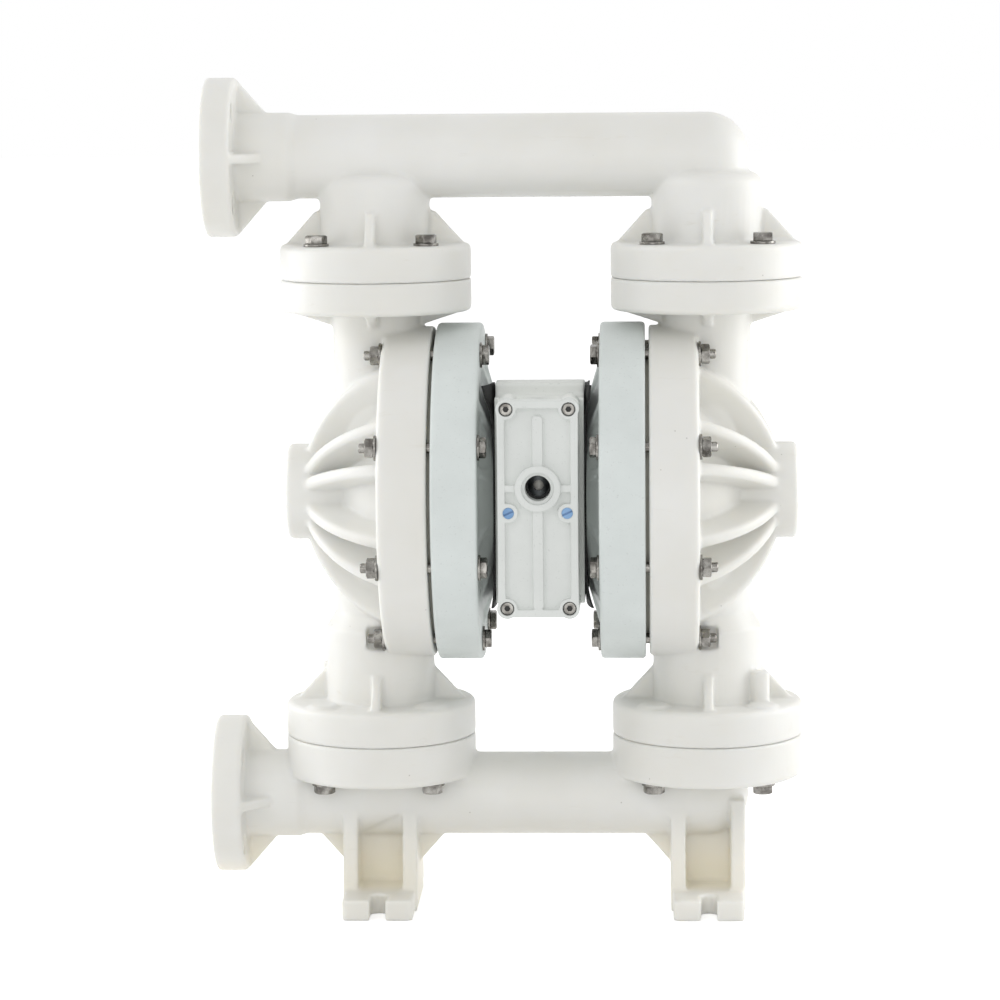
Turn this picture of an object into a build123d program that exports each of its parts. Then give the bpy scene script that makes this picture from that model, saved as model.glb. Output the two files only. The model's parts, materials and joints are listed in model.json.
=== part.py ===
from build123d import *
import os
from math import sqrt

os.makedirs("parts", exist_ok=True)

# Air operated double diaphragm pump, 2 in flanged ports, moulded plastic wetted parts and a metal air motor.
# +X runs along the diaphragm rod, away from the pipe flanges; +Y points to the rear; +Z is up.
# The origin is the middle of the four foot slots, on the floor. Sizes are in millimetres.

# ---- fits ----
FIT = 0.05  # radial clearance of a sliding fit or a thread
LOOSE = 0.3  # clearance where a piece drops into its pocket
REST_GAP = 0.15  # between a ball and the seat it rests on

# ---- heights ----
INLET_PIPE_HEIGHT = 107.0  # inlet pipe axis above the floor
INLET_JOINT_RISE = 60.8  # inlet pipe axis to the lower joint face
CAP_DROP = 237.2  # rod axis down to the lower joint face
CAP_RISE = 206.2  # rod axis up to the upper joint face
OUTLET_PIPE_RISE = 116.8  # upper joint face to the outlet pipe axis

# ---- air motor, measured along the rod ----
STROKE = 40.0  # full travel of the rod
BODY_WIDTH = 84.0
BODY_DEPTH = 172.0
BODY_HALF_HEIGHT = 98.0
BODY_ROOF_RISE = 12.0  # raised band on the body's roof
BODY_ROOF_FRONT = -64.0
BODY_ROOF_BACK = -24.0
BODY_GASKET_T = 2.0
BODY_GASKET_OVERHANG = 5.0  # how far the gasket shows above and below the body

# ---- air caps ----
AIR_CAP_DEPTH = 55.7
AIR_RIM_T = 43.2
AIR_RIM_STEP = 3.2  # its rim stands this far outside the fluid cap's
AIR_RIM_EDGE = 3.0  # edge radius
AIR_HUB_R = 90.0
AIR_CONE_STEP = 15.0  # the cone meets the back of the rim this far inside the ribs' ends
AIR_FLOOR_T = 14.0  # wall between the dish and the body
AIR_FLOOR_R = 84.0
AIR_RIB_T = 8.0
AIR_RIBS = 12

# ---- fluid caps ----
FLUID_RIM_T = 47.0
FLUID_RIM_R = 159.5
FLUID_RIM_EDGE = 5.5
CAP_DEPTH = 142.3  # rim face to the end of the boss
DOME_STEP = 45.5  # the dome's radius is this much under the rim's
DOME_CENTRE = -17.7  # centre of the dome from the rim face
DOME_WALL = 12.0
CAVITY_MOUTH_DEPTH = 25.0  # of the flare from the dome's cavity to the diaphragm's web
CAP_RIB_HEIGHT = 34.0
CAP_RIB_T = 12.0
CAP_RIB_CREST = 4.5  # radius along the crest
CAP_RIB_HOLD = 3.0  # how far a rib runs into the end boss
CAP_RIB_ANGLES = (15.5, 34.5, 68.0)  # above and below the horizontal, front and rear
END_BOSS_R = 46.3
END_BOSS_EDGE = 4.0
COLUMN_OFFSET = 55.8  # rim face to the vertical axis of the check valves
NECK_R = 42.0
NECK_START = 30.0  # the necks grow out of the dome and boss from here
PASSAGE_R = 27.0  # bore of the necks
CAGE_R = 52.3
CAGE_TOP = 65.8  # ceiling of a ball cage above its joint face
CAGE_WALL_OVER = 39.9  # plastic over the inlet cage's ceiling, up to the shoulder
CAGE_SHOULDER = 15.0  # height of the cone over the inlet cage
UPPER_FLANGE_T = 31.5
LOWER_FLANGE_T = 33.7
FLANGE_EDGE = 5.0
NECK_GUSSET_R = 85.0
NECK_GUSSET_DROP = 13.7
CAGE_GUSSET_R = 82.0
CAGE_GUSSET_RISE = 32.0
GUSSET_T = 9.0
BOLT_PAD_R = 14.0
BOLT_PAD_T = 3.0
MOULD_BOSS_R = 8.5
MOULD_BOSS_HEIGHT = 31.0
MOULD_BOSS_PLACE = (51.0, -33.0)  # from the column axis

# ---- joints between caps and manifolds ----
JOINT_R = 92.0
JOINT_BOLT_OFFSET = 52.1  # each bolt from the column axis, in X and in Y
OUTLET_FLANGE_T = 33.5
INLET_FLANGE_T = 40.0

# ---- manifolds ----
PORT_FLANGE_R = 76.2  # 2 in, class 150
PORT_FLANGE_T = 29.0
PORT_PCD = 120.65
PORT_HOLE_R = 9.525
PORT_FACE_X = -319.4
PORT_BORE_R = 28.0
PORT_GUSSET_R = 74.0
PORT_GUSSET_LENGTH = 27.5
HUB_R = 42.5
HUB_LENGTH = 79.0  # from the flange face
HUB_TAPER = 8.0
PIPE_R = 40.0
PIPE_BORE_R = 27.5  # behind the hub
STUB_R = 53.7
STUB_FOOT_R = 50.5
STUB_HEIGHT = 100.3  # stub top above the upper joint face
STUB_EDGE = 13.0
STUB_GUSSET_R = 86.0
STUB_GUSSET_TOP = 64.8  # gusset top above the upper joint face
STUB_GUSSET_SLOPE_R = 57.5  # radius where the slope ends at the stub

# ---- feet ----
FOOT_RIB_SPREAD = 36.0  # outer faces of a foot's two ribs from its middle
FOOT_RIB_T = 14.3
FOOT_RIB_TOP_Y = 38.0
FOOT_RIB_FOOT_Y = 50.0
FOOT_WEB_T = 10.0
PAD_HALF_WIDTH = 34.0
PAD_HALF_DEPTH = 90.0
PAD_T = 20.0
PAD_EDGE = 5.0
SLOT_R = 7.5
SLOT_Y = 68.0  # centre of the slot's round end from the middle
FOOT_GUSSET_REACH = 30.0
FOOT_GUSSET_T = 10.0

# ---- check valves ----
BALL_R = 30.0
BALL_LIFT = 15.0
SEAT_R = 42.0
SEAT_T = 12.0
SEAT_BORE_R = 24.0
SEAT_CONTACT_R = 26.0  # circle on which the ball seals
CAGE_BORE_R = 39.0
CAGE_FIN_T = 7.0
CAGE_FIN_GAP = 1.0  # between a fin and the ball
CAGE_STOP_R = 16.0  # inner radius of the fins over the ball

# ---- diaphragms, plates and rod ----
LIP_T = 3.5  # clamped rim of the diaphragm, which sets the gap between the caps
LIP_WIDTH = 14.0
WEB_INNER_R = 76.0
WEB_SAG = 9.0  # the convolution bulges towards the air side
DIAPHRAGM_T = 6.0
DIAPHRAGM_REST = 2.0  # its middle lies this far behind the air cap's face
AIR_PLATE_R = 72.0
AIR_PLATE_T = 12.0
AIR_PLATE_HUB_R = 30.0
FLUID_PLATE_R = 68.0
FLUID_PLATE_T = 14.0
PLATE_EDGE = 4.0
ROD_R = 14.0
PLATE_SCREW_R = 8.0
PLATE_SCREW_DEPTH = 28.0  # thread engaged in the rod
PLATE_SCREW_HEAD_R = 15.0
PLATE_SCREW_HEAD_T = 10.0
BUSH_T = 5.0
BUSH_LENGTH = 22.0
SEAL_LENGTH = 8.0
ROD_HOLE_R = 16.0

# ---- pilot rod, which the plates push at each end of the stroke ----
PILOT_R = 5.0
PILOT_HEIGHT = 45.0  # above the rod axis
PILOT_TRAVEL = 3.0  # each way
PILOT_GROOVE_LENGTH = 24.0
PILOT_HOLE_R = 5.8
PILOT_BUSH_R = 8.5
PILOT_BUSH_LENGTH = 12.0

# ---- air valve ----
VALVE_HALF_WIDTH = 37.5
VALVE_HALF_HEIGHT = 101.0
VALVE_CORNER_R = 8.5
VALVE_GASKET_T = 1.5
BLOCK_T = 40.5
BLOCK_INSET = 4.0  # block walls stand this far inside the cover's outline
COVER_T = 20.5
COVER_BORDER = 7.0
COVER_RECESS = 5.0
SPOOL_R = 10.0
SPOOL_WAIST_R = 6.5
SPOOL_LENGTH = 104.0
SPOOL_LAND = 16.0
SPOOL_TRAVEL = 8.0  # each way
SLEEVE_R = 15.0
SLEEVE_PORT_R = 5.0
END_PLUG_T = 12.0
INLET_HEIGHT = 19.4  # air inlet above the rod axis
INLET_BOSS_R = 21.5
INLET_BOSS_RISE = 2.0
INLET_MOUTH_R = 15.0
INLET_MOUTH_T = 5.0
INLET_R = 12.0  # through the cover
INLET_PASSAGE_R = 10.0  # behind the cover
COVER_RIB_T = 9.5
COVER_RIB_END_R = 3.5  # corner radius at the ribs' ends
COVER_CROSS_RIB_T = 6.5
COVER_RIB_TOP = 87.0  # above the rod axis
COVER_RIB_DROP = 1.0  # ribs lie this much below the cover's border
TRIM_PLUG_R = 5.15
TRIM_PLUG_LENGTH = 14.0
TRIM_PLUG_PLACE = (27.3, -3.5)
TRIM_PLUG_SLOT = 1.8
TRIM_BOSS_R = 9.0
AIR_PORT_R = 7.0
AIR_PORT_PLACE = (24.0, -32.0)  # in the valve face, one each side
AIR_PORT_DEPTH = 26.0
EXHAUST_R = 12.0
EXHAUST_DROP = 60.0  # below the rod axis

# ---- muffler ----
MUFFLER_R = 29.0
MUFFLER_LENGTH = 62.0
MUFFLER_NECK_LENGTH = 14.0
MUFFLER_HEX_AF = 38.0
MUFFLER_HEX_T = 10.0
MUFFLER_GROOVE = 3.0
MUFFLER_GROOVES = 4
MUFFLER_EDGE = 9.0
MUFFLER_END_T = 12.0  # closed end

# ---- fasteners: shank radius, across flats, head height ----
CHAMBER_BOLT_R, CHAMBER_BOLT_AF, CHAMBER_HEAD_T = 5.0, 17.0, 6.4
CHAMBER_NUT_T = 8.4
CHAMBER_THREAD_OUT = 6.0  # thread that shows past the nut
CHAMBER_WASHER_R, CHAMBER_WASHER_T = 12.0, 2.3
CHAMBER_BOLT_EDGE = 12.3  # bolt to the fluid cap's rim
CHAMBER_BOLT_INSIDE = 14.2  # bolt to whatever lies inside the bolt circle
CHAMBER_BOLTS = 8
JOINT_BOLT_R, JOINT_BOLT_AF, JOINT_HEAD_T = 6.0, 18.0, 8.0
JOINT_WASHER_R, JOINT_WASHER_T = 12.0, 2.5
INSERT_R, INSERT_LENGTH = 9.0, 22.0
HOLE_CLEARANCE = 0.6  # bolt holes over their bolts
SPOTFACE_R = 13.5
VALVE_SCREW_R, VALVE_SCREW_HEAD_R, VALVE_SCREW_HEAD_T = 3.0, 5.5, 6.0
VALVE_SCREW_PLACE = (29.0, 93.0)
VALVE_SCREW_GRIP = 16.0  # thread in the centre body
VALVE_SCREW_SINK = 2.5  # head below the cover's face
VALVE_SCREW_ROOM = 1.0  # round the head in its pocket
VALVE_BOSS_R = 9.5
CAP_SCREW_R, CAP_SCREW_HEAD_R, CAP_SCREW_HEAD_T = 4.0, 6.5, 8.0
CAP_SCREW_PLACE = (48.0, 58.0)
CAP_SCREW_GRIP = 24.0

# ---- places that follow from the sizes above ----
LOWER_JOINT_Z = INLET_PIPE_HEIGHT + INLET_JOINT_RISE
AXIS_Z = LOWER_JOINT_Z + CAP_DROP
UPPER_JOINT_Z = AXIS_Z + CAP_RISE
OUTLET_PIPE_Z = UPPER_JOINT_Z + OUTLET_PIPE_RISE
HUB_X = BODY_WIDTH / 2 + BODY_GASKET_T
AIR_FACE_X = HUB_X + AIR_CAP_DEPTH
FLUID_FACE_X = AIR_FACE_X + LIP_T
COLUMN_X = FLUID_FACE_X + COLUMN_OFFSET
DISH_FLOOR_X = HUB_X + AIR_FLOOR_T
DIAPHRAGM_X = AIR_FACE_X - DIAPHRAGM_REST - DIAPHRAGM_T
ROD_END_X = DIAPHRAGM_X - AIR_PLATE_T
SCREW_HEAD_X = DIAPHRAGM_X + DIAPHRAGM_T + FLUID_PLATE_T
VALVE_BACK_Y = -BODY_DEPTH / 2
BLOCK_BACK_Y = VALVE_BACK_Y - VALVE_GASKET_T
BLOCK_FRONT_Y = BLOCK_BACK_Y - BLOCK_T
COVER_BACK_Y = BLOCK_FRONT_Y - VALVE_GASKET_T
COVER_FRONT_Y = COVER_BACK_Y - COVER_T
SPOOL_Y = (BLOCK_BACK_Y + BLOCK_FRONT_Y) / 2
AIR_RIM_R = FLUID_RIM_R + AIR_RIM_STEP
CHAMBER_BOLT_CIRCLE = FLUID_RIM_R - CHAMBER_BOLT_EDGE
AIR_RIB_R = CHAMBER_BOLT_CIRCLE - CHAMBER_BOLT_INSIDE
AIR_CONE_R = AIR_RIB_R - AIR_CONE_STEP
LIP_R = CHAMBER_BOLT_CIRCLE - CHAMBER_BOLT_INSIDE
WEB_OUTER_R = LIP_R - LIP_WIDTH
DOME_R = FLUID_RIM_R - DOME_STEP
CONTACT_DROP = sqrt(BALL_R**2 - SEAT_CONTACT_R**2)
SEAT_CONE_RISE = SEAT_CONTACT_R / CONTACT_DROP  # slope of the seat where the ball touches
SEAT_CONE_HEIGHT = 2 * (SEAT_CONTACT_R - SEAT_BORE_R) * SEAT_CONE_RISE
BALL_REST = CONTACT_DROP - SEAT_CONE_HEIGHT / 2 + REST_GAP * BALL_R / CONTACT_DROP
CAGE_STOP = BALL_REST + BALL_LIFT + sqrt(BALL_R**2 - CAGE_STOP_R**2) + LOOSE
INLET_CAGE_TOP_Z = LOWER_JOINT_Z + CAGE_TOP
SHOULDER_Z = INLET_CAGE_TOP_Z + CAGE_WALL_OVER

STAND = (Align.CENTER, Align.CENTER, Align.MIN)


# ---- shapes used all over the pump ----
def rod(radius, length):
    """Round bar standing on z = 0."""
    return Cylinder(radius, length, align=STAND)


def ring(outer, inner, length):
    """Tube standing on z = 0."""
    return rod(outer, length) - rod(inner, length)


def turned(outline, rounds=None):
    """Solid turned about z from (radius, height) corners; rounds gives a corner's edge radius by its index."""
    face = make_face(Polyline(*[(r, 0, z) for r, z in outline], close=True))
    for index, radius in (rounds or {}).items():
        r, z = outline[index]
        face = fillet(face.vertices().sort_by_distance((r, 0, z))[0], radius)
    return revolve(face, Axis.Z)


def plate(corners, thickness):
    """Flat plate of (radius, height) corners, centred on the xz plane."""
    face = make_face(Polyline(*[(r, 0, z) for r, z in corners], close=True))
    return extrude(face, thickness / 2, both=True)


def around(shape, count=4, start=0.0):
    """Copies of a shape about z."""
    return [Rot(0, 0, start + 360 / count * i) * shape for i in range(count)]


def hexagon(across_flats, height):
    """Hexagonal prism standing on z = 0, a flat on each side of the x axis."""
    return extrude(RegularPolygon(across_flats / 2, 6, major_radius=False), height)


def hex_bolt(radius, across_flats, head, length):
    """Bolt whose head stands on z = 0 and whose shank hangs below."""
    cone = turned([(0, 0), (across_flats * 0.62, 0), (across_flats * 0.47, head), (0, head)])
    return (hexagon(across_flats, head) & cone) + Pos(0, 0, -length) * rod(radius, length)


def along_rod(x, shape):
    """Lay a shape turned about z along the rod axis, its z = 0 at x."""
    return Plane(origin=(x, 0, AXIS_Z), x_dir=(0, 1, 0), z_dir=(1, 0, 0)) * shape


def facing_front(x, y, z, shape):
    """Lay a shape made about z so that its z points to the front of the pump."""
    return Plane(origin=(x, y, z), x_dir=(1, 0, 0), z_dir=(0, -1, 0)) * shape


def column(z, shape):
    """Stand a shape made about z on the right-hand column."""
    return Pos(COLUMN_X, 0, z) * shape


def other_side(shape):
    """The same piece on the left: the two halves of the pump are one design turned half round."""
    return Rot(0, 0, 180) * shape


def both_sides(shapes):
    return shapes + [other_side(shape) for shape in shapes]


def save(name, shapes):
    """Write one node; a list of solids stays a group of separate solids."""
    shape = Compound(children=[s.solid() for s in shapes]) if isinstance(shapes, list) else shapes
    export_step(shape, f"parts/{name}.step")


# ---- check valves ----
def seat():
    """Moulded elastomer ring with a conical seat for the ball; its top is z = 0."""
    flare_r = 2 * SEAT_CONTACT_R - SEAT_BORE_R
    return turned(
        [
            (SEAT_BORE_R + 2, -SEAT_T),
            (SEAT_R, -SEAT_T),
            (SEAT_R, 0),
            (flare_r, 0),
            (SEAT_BORE_R, -SEAT_CONE_HEIGHT),
            (SEAT_BORE_R, -SEAT_T + 2),
        ]
    )


def seat_pocket():
    return Pos(0, 0, -SEAT_T) * rod(SEAT_R + LOOSE, SEAT_T)


def cage_space():
    """Room for the ball above a joint face: a round chamber with four guide fins that also stop the ball."""
    fin_r = BALL_R + CAGE_FIN_GAP
    fin = plate(
        [
            (fin_r, 0),
            (CAGE_BORE_R + 1, 0),
            (CAGE_BORE_R + 1, CAGE_TOP),
            (CAGE_STOP_R, CAGE_TOP),
            (CAGE_STOP_R, CAGE_STOP),
            (fin_r, CAGE_STOP),
        ],
        CAGE_FIN_T,
    )
    return rod(CAGE_BORE_R, CAGE_TOP) - around(fin, 4, 45)


def ball(joint_z):
    return Pos(0, 0, joint_z + BALL_REST) * Sphere(BALL_R)


# ---- fluid caps ----
def dome(radius):
    """Part of a ball that stands on the rim face."""
    whole = Pos(0, 0, DOME_CENTRE) * Sphere(radius)
    return whole & Box(3 * radius, 3 * radius, 2 * radius, align=STAND)


def cap_ribs():
    """Ribs over the dome: round plates through the rod axis with rounded crests."""
    disc = Cylinder(DOME_R + CAP_RIB_HEIGHT, CAP_RIB_T, rotation=(90, 0, 0))
    disc = Pos(0, 0, DOME_CENTRE) * fillet(disc.edges().filter_by(GeomType.CIRCLE), CAP_RIB_CREST)
    keep = Box(3 * DOME_R, 3 * DOME_R, 2 * DOME_R, align=STAND) - rod(END_BOSS_R - CAP_RIB_HOLD, 2 * DOME_R)
    pair = disc & keep
    return [Rot(0, 0, sign * angle) * pair for angle in CAP_RIB_ANGLES for sign in (-1, 1)]


def cap_round_parts():
    """Rim, dome, ribs and end boss about the rod axis."""
    rim = turned(
        [(0, 0), (FLUID_RIM_R, 0), (FLUID_RIM_R, FLUID_RIM_T), (0, FLUID_RIM_T)],
        {2: FLUID_RIM_EDGE},
    )
    boss = turned([(0, 0), (END_BOSS_R, 0), (END_BOSS_R, CAP_DEPTH), (0, CAP_DEPTH)], {2: END_BOSS_EDGE})
    return rim + dome(DOME_R) + cap_ribs() + boss


def cap_cavity():
    """Space in front of the diaphragm, flared at its mouth to the width of the diaphragm's web."""
    inside = DOME_R - DOME_WALL
    throat = sqrt(inside**2 - (CAVITY_MOUTH_DEPTH - DOME_CENTRE) ** 2)
    mouth = [(0, 0), (WEB_OUTER_R, 0), (throat, CAVITY_MOUTH_DEPTH), (0, CAVITY_MOUTH_DEPTH)]
    return dome(inside) + turned(mouth)


def cap_upper_neck():
    """Neck and flange that carry the outlet joint."""
    flange_z = UPPER_JOINT_Z - UPPER_FLANGE_T
    neck = Pos(0, 0, AXIS_Z + NECK_START) * rod(NECK_R, CAP_RISE - NECK_START)
    flange = turned([(0, 0), (JOINT_R, 0), (JOINT_R, UPPER_FLANGE_T), (0, UPPER_FLANGE_T)], {1: FLANGE_EDGE})
    gusset = plate(
        [(NECK_R - 5, -NECK_GUSSET_DROP), (NECK_R, -NECK_GUSSET_DROP), (NECK_GUSSET_R, 0), (NECK_R - 5, 0)],
        GUSSET_T,
    )
    return neck + Pos(0, 0, flange_z) * flange + [Pos(0, 0, flange_z) * g for g in around(gusset)]


def cap_lower_cage():
    """Neck, ball cage and flange that carry the inlet joint."""
    shoulder = SHOULDER_Z - LOWER_JOINT_Z
    cage = turned(
        [
            (0, 0),
            (CAGE_R, 0),
            (CAGE_R, shoulder),
            (NECK_R + 1, shoulder + CAGE_SHOULDER),
            (NECK_R + 1, CAP_DROP - NECK_START),
            (0, CAP_DROP - NECK_START),
        ]
    )
    flange = turned([(0, 0), (JOINT_R, 0), (JOINT_R, LOWER_FLANGE_T), (0, LOWER_FLANGE_T)], {2: FLANGE_EDGE})
    gusset = plate(
        [(CAGE_R - 5, 0), (CAGE_GUSSET_R, 0), (CAGE_R, CAGE_GUSSET_RISE), (CAGE_R - 5, CAGE_GUSSET_RISE)],
        GUSSET_T,
    )
    pads = [
        Pos(JOINT_BOLT_OFFSET * i, JOINT_BOLT_OFFSET * j, LOWER_FLANGE_T) * rod(BOLT_PAD_R, BOLT_PAD_T)
        for i in (-1, 1)
        for j in (-1, 1)
    ]
    boss = Pos(*MOULD_BOSS_PLACE, LOWER_FLANGE_T) * rod(MOULD_BOSS_R, MOULD_BOSS_HEIGHT)
    lifted = [Pos(0, 0, LOWER_FLANGE_T) * g for g in around(gusset)]
    return Pos(0, 0, LOWER_JOINT_Z) * (cage + flange + lifted + pads + boss)


def insert_pockets(joint_z, upwards):
    """Blind holes for the threaded inserts, sunk from a joint face."""
    depth = INSERT_LENGTH + LOOSE
    z = joint_z if upwards else joint_z - depth
    return [
        Pos(JOINT_BOLT_OFFSET * i, JOINT_BOLT_OFFSET * j, z) * rod(INSERT_R + FIT, depth)
        for i in (-1, 1)
        for j in (-1, 1)
    ]


def chamber_bolt_places():
    """Directions of the bolts round the rim, none on the vertical or the horizontal."""
    return PolarLocations(CHAMBER_BOLT_CIRCLE, CHAMBER_BOLTS, start_angle=180 / CHAMBER_BOLTS)


def fluid_cap():
    shell = along_rod(FLUID_FACE_X, cap_round_parts())
    shell += column(0, cap_upper_neck())
    shell += column(0, cap_lower_cage())
    passage = UPPER_JOINT_Z - SEAT_T - INLET_CAGE_TOP_Z
    nut_room = CHAMBER_WASHER_T + CHAMBER_NUT_T + CHAMBER_THREAD_OUT + 2
    spotface = Pos(0, 0, FLUID_RIM_T) * rod(SPOTFACE_R, nut_room)
    hole = rod(CHAMBER_BOLT_R + HOLE_CLEARANCE, FLUID_RIM_T)
    cuts = [along_rod(FLUID_FACE_X, cap_cavity())]
    cuts += [along_rod(FLUID_FACE_X, place * (spotface + hole)) for place in chamber_bolt_places()]
    cuts += [column(INLET_CAGE_TOP_Z, rod(PASSAGE_R, passage))]
    cuts += [column(LOWER_JOINT_Z, cage_space()), column(UPPER_JOINT_Z, seat_pocket())]
    cuts += [column(0, pocket) for pocket in insert_pockets(LOWER_JOINT_Z, True)]
    cuts += [column(0, pocket) for pocket in insert_pockets(UPPER_JOINT_Z, False)]
    return shell - cuts


# ---- manifolds ----
def port_end():
    """Pipe flange, its hub and gussets about z, the flange face at z = 0."""
    barrel = turned(
        [
            (0, 0),
            (PORT_FLANGE_R, 0),
            (PORT_FLANGE_R, PORT_FLANGE_T),
            (HUB_R, PORT_FLANGE_T),
            (HUB_R, HUB_LENGTH),
            (PIPE_R, HUB_LENGTH + HUB_TAPER),
            (0, HUB_LENGTH + HUB_TAPER),
        ],
        {1: 1.5, 2: 4.0},
    )
    gusset = plate(
        [
            (HUB_R - 4, PORT_FLANGE_T),
            (PORT_GUSSET_R, PORT_FLANGE_T),
            (HUB_R, PORT_FLANGE_T + PORT_GUSSET_LENGTH),
            (HUB_R - 4, PORT_FLANGE_T + PORT_GUSSET_LENGTH),
        ],
        GUSSET_T,
    )
    return barrel + around(gusset)


def port_cuts(reach):
    """Port bore, the narrower pipe bore behind it and the four flange holes, about z."""
    holes = [
        place * rod(PORT_HOLE_R, PORT_FLANGE_T) for place in PolarLocations(PORT_PCD / 2, 4, start_angle=45)
    ]
    return [rod(PORT_BORE_R, HUB_LENGTH), rod(PIPE_BORE_R, reach)] + holes


def on_pipe(z, shape):
    """Lay a shape made about z along a pipe axis, starting at the flange face."""
    return Plane(origin=(PORT_FACE_X, 0, z), x_dir=(0, 1, 0), z_dir=(1, 0, 0)) * shape


def at_columns(shape):
    return [Pos(x, 0, 0) * shape for x in (-COLUMN_X, COLUMN_X)]


def joint_holes(z, thickness):
    """Clearance holes of one joint flange."""
    return [
        Pos(JOINT_BOLT_OFFSET * i, JOINT_BOLT_OFFSET * j, z) * rod(JOINT_BOLT_R + HOLE_CLEARANCE, thickness)
        for i in (-1, 1)
        for j in (-1, 1)
    ]


def outlet_stub():
    """Ball cage, joint flange and gussets of the outlet manifold, standing on the joint face."""
    cage = turned([(0, 0), (STUB_FOOT_R, 0), (STUB_R, STUB_HEIGHT), (0, STUB_HEIGHT)], {2: STUB_EDGE})
    flange = turned([(0, 0), (JOINT_R, 0), (JOINT_R, OUTLET_FLANGE_T), (0, OUTLET_FLANGE_T)], {2: FLANGE_EDGE})
    gusset = plate(
        [
            (STUB_FOOT_R - 5, OUTLET_FLANGE_T),
            (STUB_GUSSET_R, OUTLET_FLANGE_T),
            (STUB_GUSSET_SLOPE_R, STUB_GUSSET_TOP),
            (STUB_FOOT_R - 5, STUB_GUSSET_TOP),
        ],
        GUSSET_T,
    )
    return cage + flange + around(gusset)


def outlet_manifold():
    """Pipe with an elbow over the right-hand column and a ball cage at each column."""
    run = COLUMN_X - PORT_FACE_X
    pipe = on_pipe(OUTLET_PIPE_Z, port_end()) + on_pipe(OUTLET_PIPE_Z, rod(PIPE_R, run))
    pipe += Pos(COLUMN_X, 0, OUTLET_PIPE_Z) * Sphere(PIPE_R)
    pipe += Pos(COLUMN_X, 0, UPPER_JOINT_Z) * rod(PIPE_R - 0.5, OUTLET_PIPE_RISE)
    pipe += at_columns(Pos(0, 0, UPPER_JOINT_Z) * outlet_stub())
    cuts = [on_pipe(OUTLET_PIPE_Z, cut) for cut in port_cuts(run)]
    cuts += [Pos(COLUMN_X, 0, OUTLET_PIPE_Z) * Sphere(PIPE_BORE_R)]
    cuts += at_columns(Pos(0, 0, UPPER_JOINT_Z) * cage_space())
    cuts += at_columns(Pos(0, 0, UPPER_JOINT_Z + CAGE_TOP) * rod(PASSAGE_R, OUTLET_PIPE_RISE - CAGE_TOP))
    for hole in joint_holes(UPPER_JOINT_Z, OUTLET_FLANGE_T):
        cuts += at_columns(hole)
    return pipe - cuts


def foot():
    """Two ribs and a web under the pipe, on a slotted pad; x = 0 is the middle of the foot."""
    rib = extrude(
        make_face(
            Polyline(
                (0, -FOOT_RIB_FOOT_Y, 0),
                (0, FOOT_RIB_FOOT_Y, 0),
                (0, FOOT_RIB_TOP_Y, INLET_PIPE_HEIGHT),
                (0, -FOOT_RIB_TOP_Y, INLET_PIPE_HEIGHT),
                close=True,
            )
        ),
        FOOT_RIB_T,
        dir=(1, 0, 0),
    )
    ribs = [Pos(-FOOT_RIB_SPREAD, 0, 0) * rib, Pos(FOOT_RIB_SPREAD - FOOT_RIB_T, 0, 0) * rib]
    web = Box(2 * FOOT_RIB_SPREAD - FOOT_RIB_T, FOOT_WEB_T, INLET_PIPE_HEIGHT, align=STAND)
    pad = Box(2 * PAD_HALF_WIDTH, 2 * PAD_HALF_DEPTH, PAD_T, align=STAND)
    pad = fillet(pad.edges().filter_by(Axis.Z), PAD_EDGE)
    shape = pad + ribs + web
    for side in (-1, 1):
        reach = PAD_HALF_DEPTH - SLOT_Y
        slot = Pos(0, side * (SLOT_Y + reach), 0) * Box(2 * SLOT_R, 2 * reach, PAD_T, align=STAND)
        shape -= [slot, Pos(0, side * SLOT_Y, 0) * rod(SLOT_R, PAD_T)]
    return shape


def foot_gusset(side):
    """Sloping web between a foot and the pipe, on the side towards side * X."""
    inner = FOOT_RIB_SPREAD - 4
    outer = FOOT_RIB_SPREAD + FOOT_GUSSET_REACH
    top = INLET_PIPE_HEIGHT - PIPE_R + 6
    corners = [(inner, top), (outer, top), (FOOT_RIB_SPREAD, top - FOOT_GUSSET_REACH - 4)]
    corners += [(inner, top - FOOT_GUSSET_REACH - 4)]
    return plate([(side * r, z) for r, z in corners], FOOT_GUSSET_T)


def inlet_manifold():
    """Straight pipe with a blind round end, a joint flange at each column and the pump's feet."""
    run = COLUMN_X - PORT_FACE_X
    pipe = on_pipe(INLET_PIPE_HEIGHT, port_end()) + on_pipe(INLET_PIPE_HEIGHT, rod(PIPE_R, run))
    pipe += Pos(COLUMN_X, 0, INLET_PIPE_HEIGHT) * Sphere(PIPE_R)
    flange = turned([(0, 0), (JOINT_R, 0), (JOINT_R, INLET_FLANGE_T), (0, INLET_FLANGE_T)], {1: FLANGE_EDGE})
    pipe += at_columns(Pos(0, 0, LOWER_JOINT_Z - INLET_FLANGE_T) * flange)
    pipe += at_columns(foot())
    pipe += [Pos(-COLUMN_X, 0, 0) * foot_gusset(side) for side in (-1, 1)]
    pipe += Pos(COLUMN_X, 0, 0) * foot_gusset(-1)
    cuts = [on_pipe(INLET_PIPE_HEIGHT, cut) for cut in port_cuts(run)]
    cuts += [Pos(COLUMN_X, 0, INLET_PIPE_HEIGHT) * Sphere(PIPE_BORE_R)]
    cuts += at_columns(Pos(0, 0, INLET_PIPE_HEIGHT) * rod(PASSAGE_R, INLET_JOINT_RISE - SEAT_T))
    cuts += at_columns(Pos(0, 0, LOWER_JOINT_Z) * seat_pocket())
    for hole in joint_holes(LOWER_JOINT_Z - INLET_FLANGE_T, INLET_FLANGE_T):
        cuts += at_columns(hole)
    return pipe - cuts


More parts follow.
